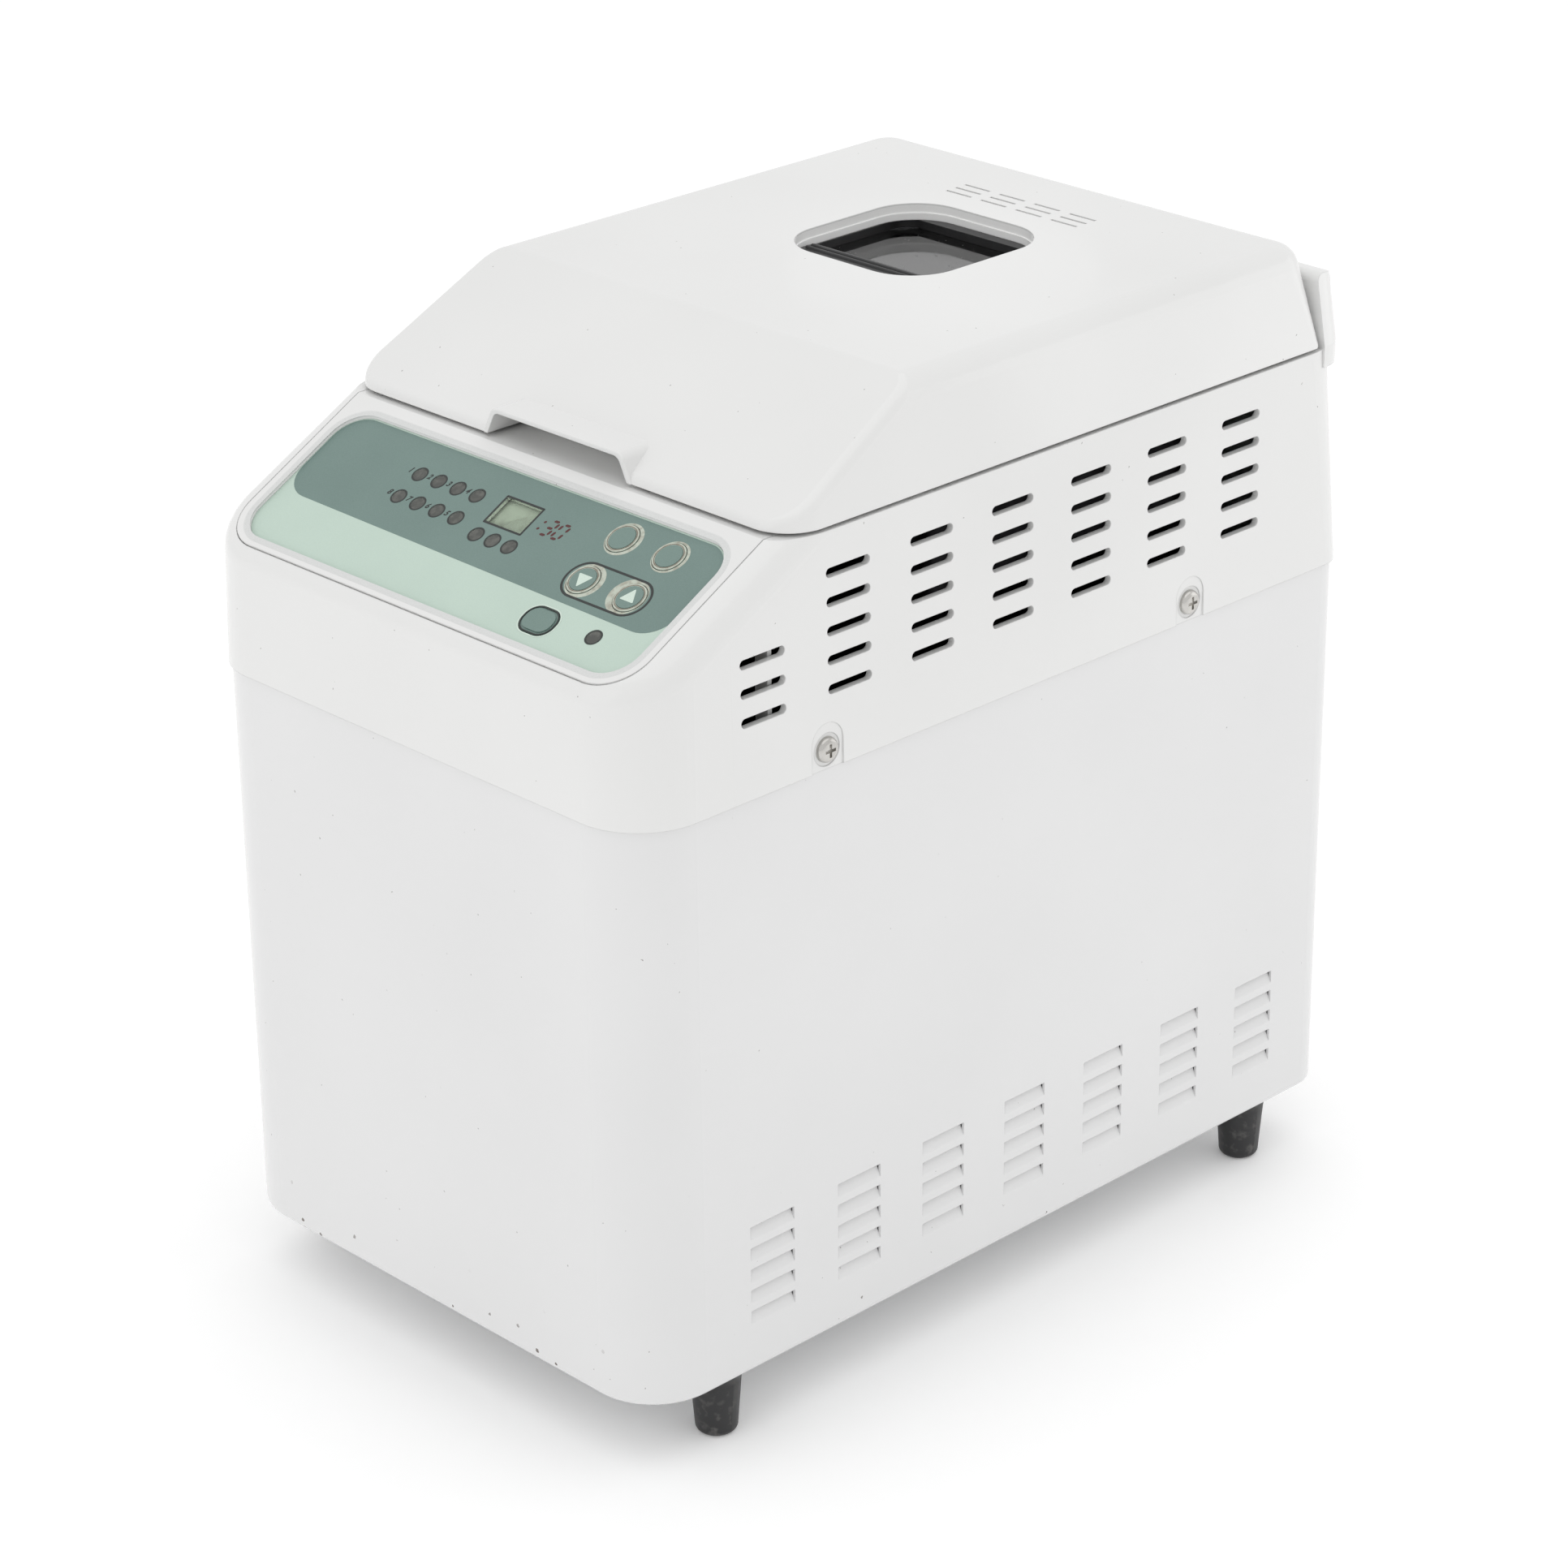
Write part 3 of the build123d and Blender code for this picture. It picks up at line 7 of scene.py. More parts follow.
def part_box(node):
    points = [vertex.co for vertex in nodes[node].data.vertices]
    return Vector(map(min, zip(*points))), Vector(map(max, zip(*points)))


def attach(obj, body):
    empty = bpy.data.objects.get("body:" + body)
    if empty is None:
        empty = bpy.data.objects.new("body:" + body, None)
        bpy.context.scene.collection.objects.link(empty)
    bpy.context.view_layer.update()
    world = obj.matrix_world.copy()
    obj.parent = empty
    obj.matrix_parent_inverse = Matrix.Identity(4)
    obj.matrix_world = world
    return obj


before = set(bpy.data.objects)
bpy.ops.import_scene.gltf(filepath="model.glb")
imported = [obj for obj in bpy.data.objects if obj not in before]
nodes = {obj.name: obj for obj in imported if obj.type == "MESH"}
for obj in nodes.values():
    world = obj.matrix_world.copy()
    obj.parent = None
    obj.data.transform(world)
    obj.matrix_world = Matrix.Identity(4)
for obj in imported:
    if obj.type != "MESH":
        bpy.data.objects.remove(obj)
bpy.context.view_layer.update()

mm = 0.001

# Camera, in degrees and metres
camera_place = (1.0428, -1.0108, 0.81946)
camera_heading = 45.954
camera_tilt = 24.294
camera_roll = -0.6315
camera_lens = 103.90

# Stage
floor_glow = 0.14
room_light = 0.87
lid_glow_place = (-0.96, 1.08, 0.81)  # mirrored in the lid in front of its window
lid_glow_spot = (0.026, 0.05, 0.35)

# The panel's print, measured along the panel and up its slope from the middle of the film's lower edge
panel_angle = 28.4
film_thickness = 0.5 * mm
ink = 0.03 * mm  # height of a printed layer
over_field = 1.2 * ink  # where print lies on the darker field
hair = 0.005 * mm  # keeps a layer clear of what it lies on
field_width = 186.2 * mm
field_low = 21.5 * mm
field_high = 59.0 * mm
field_corner = 11.3 * mm
field_tilt = 2.4 * mm  # how much lower the field ends on the right
lamp_columns = [(-45.5 + 9.57 * n) * mm for n in range(4)]
lamp_rows = [(45.4 * mm, "1234"), (34.7 * mm, "8765")]
shade_lamps = [((-3.8 + 8.05 * n) * mm, 31.7 * mm) for n in range(3)]
run_lamp = (71.1 * mm, 12.3 * mm)
lamp_hole = 5.2 * mm
lamp_ring = 6.3 * mm
number_height = 3.1 * mm
number_offset = 5.1 * mm
number_weight = 0.09 * mm
display_size = (16.8 * mm, 11.3 * mm)
display_place = (3.3 * mm, 43.4 * mm)
display_line = 0.8 * mm
digit_place = (20.4 * mm, 43.6 * mm)
digit_height = 6.4 * mm
digit_width = 3.4 * mm
digit_gap = 1.8 * mm
digit_slant = 0.18
segment_width = 1.0 * mm
button_outer = 11.8 * mm
button_cap = 9.4 * mm
button_rise = 0.5 * mm
button_gap = 0.5 * mm  # how much wider the hole in the print is
button_line = 0.28 * mm
button_line_outer = 10.6 * mm
ring_rise = 0.35 * mm
ring_round = 0.15 * mm
# Shift of the pale crescent beside each round button, a painted highlight
crescent_highlight_shifts = {"menu": 0.7 * mm, "colour": 0.5 * mm, "timer_down": 0.9 * mm, "timer_up": -1.2 * mm}
round_buttons = {
    "menu": (49.3 * mm, 49.5 * mm),
    "colour": (71.1 * mm, 49.3 * mm),
    "timer_down": (49.3 * mm, 30.2 * mm),
    "timer_up": (70.9 * mm, 30.2 * mm),
}
start_size = (14.4 * mm, 11.0 * mm)
start_place = (47.4 * mm, 10.6 * mm)
start_corner = 5.0 * mm
start_line = 0.5 * mm
start_gap = 0.8 * mm  # from the button to the line round it
start_rise = 0.3 * mm
triangle_radius = 3.6 * mm
triangle_round = 0.6 * mm
triangle_rise = 0.05 * mm
pill_size = (37.5 * mm, 15.6 * mm)
pill_line = 0.9 * mm

# Grey border round the film, on the bezel's face
border_width = 2.2 * mm
border_rise = 1.2 * mm  # from the film's face to the bezel's
film_corner = 12.0 * mm

# Opening of the lid's window, whose walls are given painted light: its middle along the lid and its
# half sizes
window_middle = 63.0 * mm
window_half = (34.5 * mm, 36.0 * mm)
window_top = 348.9 * mm  # just below the face of the lid

# Ridged bar along the front of the window
window_bar = (65.0 * mm, 18.6 * mm, 1.0 * mm)
window_bar_front = 28.2 * mm
window_bar_low = 343.5 * mm
window_ridges = (13.4 * mm, 16.0 * mm)  # from the front of the bar
window_ridge = 0.8 * mm
window_ridge_end = 1.5 * mm  # from a ridge's end to the bar's

# Faint mould line on the right side of the housing: heights and places along the side
mould_line_y = -129.0 * mm
mould_line_top = 285.0 * mm
mould_line_bend = (-122.0 * mm, 289.0 * mm)
mould_line_end = (-90.0 * mm, 307.0 * mm)
mould_line_width = 0.5 * mm


def linear(red, green, blue):
    """A screen colour from 0 to 255 as the linear colour that a shader takes."""
    return tuple(((c / 255 + 0.055) / 1.055) ** 2.4 for c in (red, green, blue)) + (1.0,)


# Node trees

def add(tree, kind, inputs=None, **settings):
    """A shader node with its settings; an input is given a value or another node's output."""
    node = tree.nodes.new("ShaderNode" + kind)
    for key, value in settings.items():
        setattr(node, key, value)
    for key, value in (inputs or {}).items():
        if isinstance(value, bpy.types.NodeSocket):
            tree.links.new(value, node.inputs[key])
        else:
            node.inputs[key].default_value = value
    return node


def new_group(name, inputs, outputs):
    """An empty shader group with number sockets; returns it with its inner input and output nodes."""
    tree = bpy.data.node_groups.new(name, "ShaderNodeTree")
    for label in inputs:
        tree.interface.new_socket(label, in_out="INPUT", socket_type="NodeSocketFloat")
    for label in outputs:
        tree.interface.new_socket(label, in_out="OUTPUT", socket_type="NodeSocketFloat")
    return tree, tree.nodes.new("NodeGroupInput"), tree.nodes.new("NodeGroupOutput")


def cloud_group():
    """Soft uneven patches, from 0 to 1."""
    tree, given, result = new_group("soft_patches", ["Scale"], ["Value"])
    place = add(tree, "TexCoord").outputs["Object"]
    noise = add(tree, "TexNoise", {"Vector": place, "Scale": given.outputs["Scale"], "Detail": 3.0})
    spread = add(tree, "MapRange", {"Value": noise.outputs["Fac"], "From Min": 0.3, "From Max": 0.7})
    tree.links.new(spread.outputs["Result"], result.inputs["Value"])
    return tree


def speck_group():
    """Scattered small spots with ragged edges: cells per metre, spot size in a cell, share of cells."""
    tree, given, result = new_group("specks", ["Scale", "Size", "Share"], ["Mask"])
    place = add(tree, "TexCoord").outputs["Object"]
    ragged = add(tree, "TexNoise", {"Vector": place, "Scale": 900.0, "Detail": 2.0})
    shift = add(tree, "VectorMath", {0: ragged.outputs["Color"], "Scale": 0.0012}, operation="SCALE")
    moved = add(tree, "VectorMath", {0: place, 1: shift.outputs["Vector"]}, operation="ADD")
    place = moved.outputs["Vector"]
    cells = add(tree, "TexVoronoi", {"Vector": place, "Scale": given.outputs["Scale"]})
    pick = add(tree, "SeparateColor", {"Color": cells.outputs["Color"]})
    lot = pick.outputs["Red"]
    chosen = add(tree, "Math", {0: lot, 1: given.outputs["Share"]}, operation="LESS_THAN")
    near = cells.outputs["Distance"]
    inside = add(tree, "Math", {0: near, 1: given.outputs["Size"]}, operation="LESS_THAN")
    both = add(tree, "Math", {0: chosen.outputs[0], 1: inside.outputs[0]}, operation="MULTIPLY")
    tree.links.new(both.outputs[0], result.inputs["Mask"])
    return tree


def scratch_group():
    """Fine hairline scratches along one direction."""
    tree, given, result = new_group("hairlines", ["Scale", "Width"], ["Mask"])
    place = add(tree, "TexCoord").outputs["Object"]
    turned = {"Vector": place, "Rotation": (0.4, 0.9, 0.5), "Scale": (1.0, 0.06, 1.0)}
    drawn = add(tree, "Mapping", turned)
    noise = add(tree, "TexNoise", {"Vector": drawn.outputs["Vector"], "Scale": given.outputs["Scale"]})
    middle = add(tree, "Math", {0: noise.outputs["Fac"], 1: 0.5}, operation="SUBTRACT")
    away = add(tree, "Math", {0: middle.outputs[0]}, operation="ABSOLUTE")
    thin = add(tree, "Math", {0: away.outputs[0], 1: given.outputs["Width"]}, operation="LESS_THAN")
    tree.links.new(thin.outputs[0], result.inputs["Mask"])
    return tree


def low_group():
    """One near the lower edge, fading to nothing at the upper height; heights in metres."""
    tree, given, result = new_group("low_down", ["Full Below", "Gone Above"], ["Mask"])
    place = add(tree, "TexCoord").outputs["Object"]
    split = add(tree, "SeparateXYZ", {"Vector": place})
    fade = add(tree, "MapRange", {
        "Value": split.outputs["Z"],
        "From Min": given.outputs["Full Below"],
        "From Max": given.outputs["Gone Above"],
        "To Min": 1.0,
        "To Max": 0.0,
    })
    tree.links.new(fade.outputs["Result"], result.inputs["Mask"])
    return tree


groups = {
    "patches": cloud_group(),
    "specks": speck_group(),
    "hairlines": scratch_group(),
    "low": low_group(),
}


class Finish:
    """A material under construction: its tree, its shader and a few steps that many finishes share."""

    def __init__(self, name, roughness, **sockets):
        self.material = bpy.data.materials.new(name)
        self.material.use_nodes = True
        self.tree = self.material.node_tree
        self.shader = self.tree.nodes["Principled BSDF"]
        self.shader.inputs["Roughness"].default_value = roughness
        for key, value in sockets.items():
            self.shader.inputs[key.replace("_", " ")].default_value = value
        self.place = self.add("TexCoord").outputs["Object"]

    def add(self, kind, inputs=None, **settings):
        return add(self.tree, kind, inputs, **settings)

    def group(self, name, **values):
        """One of the shared effects, with its own values."""
        node = self.tree.nodes.new("ShaderNodeGroup")
        node.node_tree = groups[name]
        for key, value in values.items():
            node.inputs[key.replace("_", " ")].default_value = value
        return node.outputs[0]

    def math(self, operation, first, second):
        return self.add("Math", {0: first, 1: second}, operation=operation).outputs[0]

    def mix(self, share, low, high):
        """A colour between two others."""
        node = self.add("Mix", {"Factor": share}, data_type="RGBA")
        for label, value in (("A", low), ("B", high)):
            socket = [s for s in node.inputs if s.name == label and s.type == "RGBA"][0]
            if isinstance(value, bpy.types.NodeSocket):
                self.tree.links.new(value, socket)
            else:
                socket.default_value = value
        return [s for s in node.outputs if s.type == "RGBA"][0]

    def range(self, value, low, high):
        """A value from 0 to 1 brought between two numbers."""
        node = self.add("MapRange", {"Value": value, "To Min": low, "To Max": high})
        return node.outputs["Result"]

    def spread(self, value, low, high):
        """A value stretched so that low becomes 0 and high becomes 1."""
        node = self.add("MapRange", {"Value": value, "From Min": low, "From Max": high})
        return node.outputs["Result"]

    def noise(self, scale, detail=2.0):
        node = self.add("TexNoise", {"Vector": self.place, "Scale": scale, "Detail": detail})
        return node.outputs["Fac"]

    def feed(self, socket, output):
        self.tree.links.new(output, self.shader.inputs[socket])

    def bump(self, height, strength, distance, normal=None):
        inputs = {"Height": height, "Strength": strength, "Distance": distance}
        if normal:
            inputs["Normal"] = normal
        return self.add("Bump", inputs).outputs["Normal"]

    def soft_edges(self, radius):
        """Normals that round the edges off by a small radius."""
        return self.add("Bevel", {"Radius": radius}, samples=6).outputs["Normal"]


# Finishes of the outside

def mould_line(f):
    """One along the mould line: upright from the seam, then slanting back under the lid."""
    split = f.add("SeparateXYZ", {"Vector": f.place}).outputs
    right = f.math("GREATER_THAN", split["X"], 0.1)
    aside = f.math("ABSOLUTE", f.math("SUBTRACT", split["Y"], mould_line_y), 0.0)
    upright = f.math("LESS_THAN", aside, mould_line_width / 2)
    upright = f.math("MULTIPLY", upright, f.math("LESS_THAN", split["Z"], mould_line_top))
    along = Vector(mould_line_end) - Vector(mould_line_bend)
    along.normalize()
    over_y = f.math("MULTIPLY", f.math("SUBTRACT", split["Y"], mould_line_bend[0]), along.y)
    over_z = f.math("MULTIPLY", f.math("SUBTRACT", split["Z"], mould_line_bend[1]), along.x)
    off_line = f.math("ABSOLUTE", f.math("SUBTRACT", over_y, over_z), 0.0)
    slanting = f.math("LESS_THAN", off_line, mould_line_width / 2)
    slanting = f.math("MULTIPLY", slanting, f.math("GREATER_THAN", split["Y"], mould_line_bend[0]))
    slanting = f.math("MULTIPLY", slanting, f.math("LESS_THAN", split["Y"], mould_line_end[0]))
    return f.math("MULTIPLY", right, f.math("MAXIMUM", upright, slanting))


def collar_painted_light(f):
    """One on the walls of the lid's window, where a paler colour is painted light that brightens their
    shade.
    """
    split = f.add("SeparateXYZ", {"Vector": f.place}).outputs
    across = f.math("LESS_THAN", f.math("ABSOLUTE", split["X"], 0.0), window_half[0])
    off_middle = f.math("SUBTRACT", split["Y"], window_middle)
    along = f.math("LESS_THAN", f.math("ABSOLUTE", off_middle, 0.0), window_half[1])
    below = f.math("LESS_THAN", split["Z"], window_top)
    return f.math("MULTIPLY", below, f.math("MULTIPLY", across, along))


def white_finish(name, bright, roughness, ripple_scale, ripple, chips):
    """Gloss white with patches, dust and hairlines; chips low down, or else mould line and painted
    light on the walls of the lid's window.
    """
    f = Finish(name, roughness, Coat_Weight=0.35, Coat_Roughness=0.06)
    dull = tuple(0.965 * c for c in bright[:3]) + (1.0,)
    colour = f.mix(f.group("patches", Scale=9.0), bright, dull)
    dust = f.group("specks", Scale=160.0, Size=0.045, Share=0.4)
    colour = f.mix(f.math("MULTIPLY", dust, 0.6), colour, linear(120, 116, 110))
    if chips:
        near_floor = f.group("low", Full_Below=0.026, Gone_Above=0.046)
        chip = f.math("MULTIPLY", f.group("specks", Scale=210.0, Size=0.16, Share=0.16), near_floor)
        colour = f.mix(chip, colour, linear(96, 84, 76))
    else:
        # painted light: the walls of the lid's window are made paler to brighten their shade
        colour = f.mix(collar_painted_light(f), colour, linear(252, 252, 251))
    f.feed("Base Color", colour)
    scuff = f.group("hairlines", Scale=260.0, Width=0.003)
    worn = f.math("MULTIPLY", scuff, 0.012)
    f.feed("Roughness", f.math("ADD", f.range(f.noise(24.0), roughness - 0.03, roughness + 0.03), worn))
    normal = f.soft_edges(0.5 * mm)
    if not chips:
        normal = f.bump(mould_line(f), 0.35, 0.15 * mm, normal)
    f.feed("Normal", f.bump(f.noise(ripple_scale, 1.0), ripple, 0.05 * mm, normal))
    return f.material


def case_paint():
    return white_finish("gloss_white_paint", linear(226, 226, 226), 0.24, 420.0, 0.16, True)


def white_plastic():
    return white_finish("gloss_white_plastic", linear(229, 229, 228), 0.22, 160.0, 0.05, False)


def foot_rubber():
    """Black rubber, scuffed grey towards the floor."""
    f = Finish("black_rubber", 0.5, Specular_IOR_Level=0.4)
    scuff = f.spread(f.noise(320.0, 6.0), 0.52, 0.74)
    low = f.group("low", Full_Below=0.004, Gone_Above=0.024)
    share = f.math("MULTIPLY", scuff, f.range(low, 0.35, 0.9))
    f.feed("Base Color", f.mix(share, linear(44, 44, 45), linear(98, 96, 94)))
    f.feed("Roughness", f.range(scuff, 0.42, 0.7))
    f.feed("Normal", f.bump(f.noise(1500.0, 3.0), 0.15, 0.08 * mm, f.soft_edges(0.4 * mm)))
    return f.material


def bright_screw():
    """Nickel-plated steel with fine turning marks."""
    f = Finish("bright_nickel", 0.2, Metallic=1.0)
    f.feed("Base Color", f.mix(f.noise(180.0, 4.0), linear(214, 212, 208), linear(178, 176, 172)))
    f.feed("Roughness", f.range(f.noise(900.0, 3.0), 0.14, 0.3))
    f.feed("Normal", f.soft_edges(0.25 * mm))
    return f.material


def black_plastic():
    f = Finish("black_plastic", 0.38)
    f.feed("Base Color", f.mix(f.group("patches", Scale=60.0), linear(30, 30, 31), linear(42, 42, 43)))
    dust = f.group("specks", Scale=420.0, Size=0.09, Share=0.12)
    f.feed("Roughness", f.range(dust, 0.36, 0.7))
    f.feed("Normal", f.bump(f.noise(1800.0, 2.0), 0.08, 0.05 * mm, f.soft_edges(0.3 * mm)))
    return f.material


def film(name, colour, deep):
    """Printed film with a fine matt grain."""
    f = Finish(name, 0.42)
    grain = f.noise(2600.0, 2.0)
    patchy = f.math("ADD", f.math("MULTIPLY", grain, 0.6), f.math("MULTIPLY", f.noise(40.0, 3.0), 0.4))
    spread = f.spread(patchy, 0.35, 0.65)
    f.feed("Base Color", f.mix(spread, colour, deep))
    f.feed("Roughness", f.range(grain, 0.36, 0.5))
    f.feed("Normal", f.bump(grain, 0.12, 0.03 * mm))
    return f.material


def lamp_lens():
    """Smoky brown film over an unlit lamp, with paler noise patches as a painted highlight on the lens.
    """
    f = Finish("smoked_lamp_and_highlight", 0.3)
    # painted highlight: paler patches of noise on the lens
    lens_highlight = f.spread(f.noise(420.0, 2.0), 0.45, 0.7)
    f.feed("Base Color", f.mix(lens_highlight, linear(70, 72, 68), linear(94, 95, 90)))
    f.feed("Roughness", f.range(f.noise(900.0), 0.25, 0.4))
    return f.material


def display_pane():
    """Clear cover over the display."""
    f = Finish("clear_cover", 0.12, Transmission_Weight=1.0, IOR=1.3)
    f.feed("Base Color", f.mix(f.noise(220.0), linear(238, 244, 236), linear(226, 232, 222)))
    f.feed("Normal", f.bump(f.noise(90.0), 0.04, 0.1 * mm))
    return f.material


def display_block():
    """The pale grey-green face of the digit display, with faint smudges."""
    f = Finish("display_face", 0.4)
    smudge = f.spread(f.noise(240.0, 5.0), 0.5, 0.72)
    f.feed("Base Color", f.mix(smudge, linear(236, 245, 234), linear(200, 208, 196)))
    f.feed("Roughness", f.range(smudge, 0.35, 0.5))
    return f.material


def printed(name, colour):
    """Printing ink: a colour that thins a little where it lies on the film's grain."""
    f = Finish(name, 0.45)
    thin = tuple(min(1.0, 1.35 * c + 0.01) for c in colour[:3]) + (1.0,)
    f.feed("Base Color", f.mix(f.range(f.noise(1900.0, 3.0), 0.0, 0.6), colour, thin))
    f.feed("Roughness", f.range(f.noise(700.0), 0.4, 0.52))
    return f.material


def button_ring():
    """Pale worn film that is domed up round a button; the same finish is the painted highlight in the
    crescents beside the buttons.
    """
    f = Finish("worn_button_ring", 0.36)
    worn = f.spread(f.noise(520.0, 4.0), 0.42, 0.66)
    f.feed("Base Color", f.mix(worn, linear(190, 197, 183), linear(164, 163, 149)))
    f.feed("Roughness", f.range(worn, 0.3, 0.5))
    return f.material


def window_pane():
    """Smoked glass with specks of dust."""
    f = Finish("smoked_glass", 0.05, Transmission_Weight=1.0, IOR=1.5)
    dust = f.group("specks", Scale=620.0, Size=0.17, Share=0.10)
    f.feed("Base Color", f.mix(dust, linear(98, 98, 100), linear(176, 176, 174)))
    haze = f.math("MULTIPLY", f.group("patches", Scale=30.0), 0.10)
    f.feed("Roughness", f.math("ADD", haze, f.math("MULTIPLY", dust, 0.5)))
    return f.material


# Finishes of the inside

def metal(name, light, dark, roughness, grain_scale, streak=(1.0, 1.0, 1.0), metallic=1.0):
    """Bare metal with grain that may be drawn out along one direction."""
    f = Finish(name, roughness, Metallic=metallic)
    drawn = f.add("Mapping", {"Vector": f.place, "Scale": streak}).outputs["Vector"]
    grain = f.add("TexNoise", {"Vector": drawn, "Scale": grain_scale, "Detail": 4.0}).outputs["Fac"]
    spread = f.spread(grain, 0.3, 0.7)
    f.feed("Base Color", f.mix(spread, light, dark))
    f.feed("Roughness", f.range(spread, roughness - 0.08, roughness + 0.1))
    f.feed("Normal", f.bump(grain, 0.1, 0.04 * mm, f.soft_edges(0.3 * mm)))
    return f.material


def plain_steel():
    return metal("zinc_plated_steel", linear(176, 178, 180), linear(148, 150, 152), 0.38, 90.0)


def outward_painted_shade(f):
    """One on the sides of the oven chamber that face away from its middle, where painted shade goes."""
    low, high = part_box("oven_chamber")
    middle = ((low.x + high.x) / 2, (low.y + high.y) / 2, 0.0)
    away = f.add("VectorMath", {0: f.place, 1: middle}, operation="SUBTRACT").outputs["Vector"]
    level = f.add("VectorMath", {0: away, 1: (1.0, 1.0, 0.0)}, operation="MULTIPLY").outputs["Vector"]
    facing = f.add("NewGeometry").outputs["Normal"]
    outward = f.add("VectorMath", {0: level, 1: facing}, operation="DOT_PRODUCT").outputs["Value"]
    return f.math("GREATER_THAN", outward, 0.001)


def oven_sheet(name, with_painted_shade):
    """Aluminised steel with a crystalline spangle; on the chamber, a darker colour on the outward sides
    is painted shade.
    """
    f = Finish(name, 0.36, Metallic=1.0)
    cells = f.add("TexVoronoi", {"Vector": f.place, "Scale": 140.0})
    tone = f.add("SeparateColor", {"Color": cells.outputs["Color"]}).outputs["Red"]
    colour = f.mix(tone, linear(190, 190, 188), linear(164, 165, 166))
    if with_painted_shade:
        # painted shade: the outward sides of the chamber are darkened
        colour = f.mix(outward_painted_shade(f), colour, linear(52, 52, 54))
    f.feed("Base Color", colour)
    f.feed("Roughness", f.range(tone, 0.28, 0.46))
    f.feed("Normal", f.soft_edges(0.3 * mm))
    return f.material


def element_tube():
    return metal("heat_stained_tube", linear(92, 84, 78), linear(52, 46, 44), 0.46, 220.0)


def bush_ceramic():
    f = Finish("white_ceramic", 0.6)
    f.feed("Base Color", f.mix(f.noise(300.0, 4.0), linear(226, 222, 212), linear(204, 198, 186)))
    f.feed("Normal", f.bump(f.noise(1200.0), 0.1, 0.05 * mm))
    return f.material


def bearing_brass():
    return metal("bearing_brass", linear(196, 164, 96), linear(160, 126, 68), 0.3, 260.0)


def belt_rubber():
    f = Finish("belt_rubber", 0.7)
    f.feed("Base Color", f.mix(f.noise(240.0, 4.0), linear(34, 33, 33), linear(56, 54, 52)))
    f.feed("Normal", f.bump(f.noise(1600.0), 0.2, 0.08 * mm))
    return f.material


def cast_metal():
    return metal("cast_aluminium", linear(180, 180, 178), linear(146, 147, 148), 0.44, 520.0)


def pan_coating():
    """Dark non-stick coating with a fine sparkle."""
    f = Finish("nonstick_coating", 0.46, Coat_Weight=0.15)
    sparkle = f.group("specks", Scale=1500.0, Size=0.22, Share=0.08)
    base = f.mix(f.group("patches", Scale=22.0), linear(58, 57, 58), linear(70, 69, 70))
    f.feed("Base Color", f.mix(f.math("MULTIPLY", sparkle, 0.5), base, linear(150, 148, 146)))
    f.feed("Roughness", f.range(f.noise(800.0), 0.38, 0.54))
    f.feed("Normal", f.bump(f.noise(1400.0, 2.0), 0.12, 0.06 * mm, f.soft_edges(0.4 * mm)))
    return f.material


def handle_wire():
    return metal("handle_wire", linear(190, 190, 192), linear(160, 160, 162), 0.26, 160.0)


def board_laminate():
    """Brown board laminate with a faint cloth weave."""
    f = Finish("board_laminate", 0.5)
    weave = f.add("TexWave", {"Vector": f.place, "Scale": 320.0, "Distortion": 2.0}).outputs["Fac"]
    f.feed("Base Color", f.mix(weave, linear(152, 112, 66), linear(134, 96, 54)))
    f.feed("Normal", f.bump(weave, 0.1, 0.05 * mm))
    return f.material


def core_iron():
    return metal("core_iron", linear(110, 108, 106), linear(74, 72, 72), 0.5, 60.0, (1.0, 1.0, 12.0))


def teal_cap():
    return film("teal_button_cap", linear(117, 140, 133), linear(110, 133, 126))


finish_of_slot = {
    "case_paint": case_paint(),
    "white_plastic": white_plastic(),
    "plain_steel": plain_steel(),
    "foot_rubber": foot_rubber(),
    "bright_screw": bright_screw(),
    "black_plastic": black_plastic(),
    "panel_film": film("mint_film", linear(192, 211, 199), linear(187, 206, 194)),
    "lamp_lens": lamp_lens(),
    "display_pane": display_pane(),
    "display_block": display_block(),
    "button_plastic": teal_cap(),
    "board_laminate": board_laminate(),
    "core_iron": core_iron(),
    "oven_sheet": oven_sheet("aluminised_sheet", False),
    "element_tube": element_tube(),
    "bush_ceramic": bush_ceramic(),
    "bearing_brass": bearing_brass(),
    "belt_rubber": belt_rubber(),
    "cast_metal": cast_metal(),
    "pan_coating": pan_coating(),
    "handle_wire": handle_wire(),
    "window_pane": window_pane(),
}


def dress_nodes():
    """Give every node the finish of its slot, and the oven chamber its own with painted shade on its
    outside.
    """
    for node in nodes.values():
        for slot in node.material_slots:
            slot.material = finish_of_slot[slot.material.name.split(".")[0]]
    for slot in nodes["oven_chamber"].material_slots:
        slot.material = oven_sheet("chamber_sheet_painted_shade", True)


# Modelling steps

def fresh():
    """Object mode with nothing selected."""
    if bpy.context.object and bpy.context.object.mode != "OBJECT":
        bpy.ops.object.mode_set(mode="OBJECT")
    bpy.ops.object.select_all(action="DESELECT")


def edit(piece):
    """Edit mode on one piece, with all of it selected."""
    fresh()
    piece.select_set(True)
    bpy.context.view_layer.objects.active = piece
    bpy.ops.object.mode_set(mode="EDIT")
    bpy.ops.mesh.select_mode(type="FACE")
    bpy.ops.mesh.select_all(action="SELECT")


def disc(diameter, sides=48):
    """A flat round plate at the origin."""
    fresh()
    bpy.ops.mesh.primitive_circle_add(vertices=sides, radius=diameter / 2, fill_type="NGON")
    return bpy.context.object


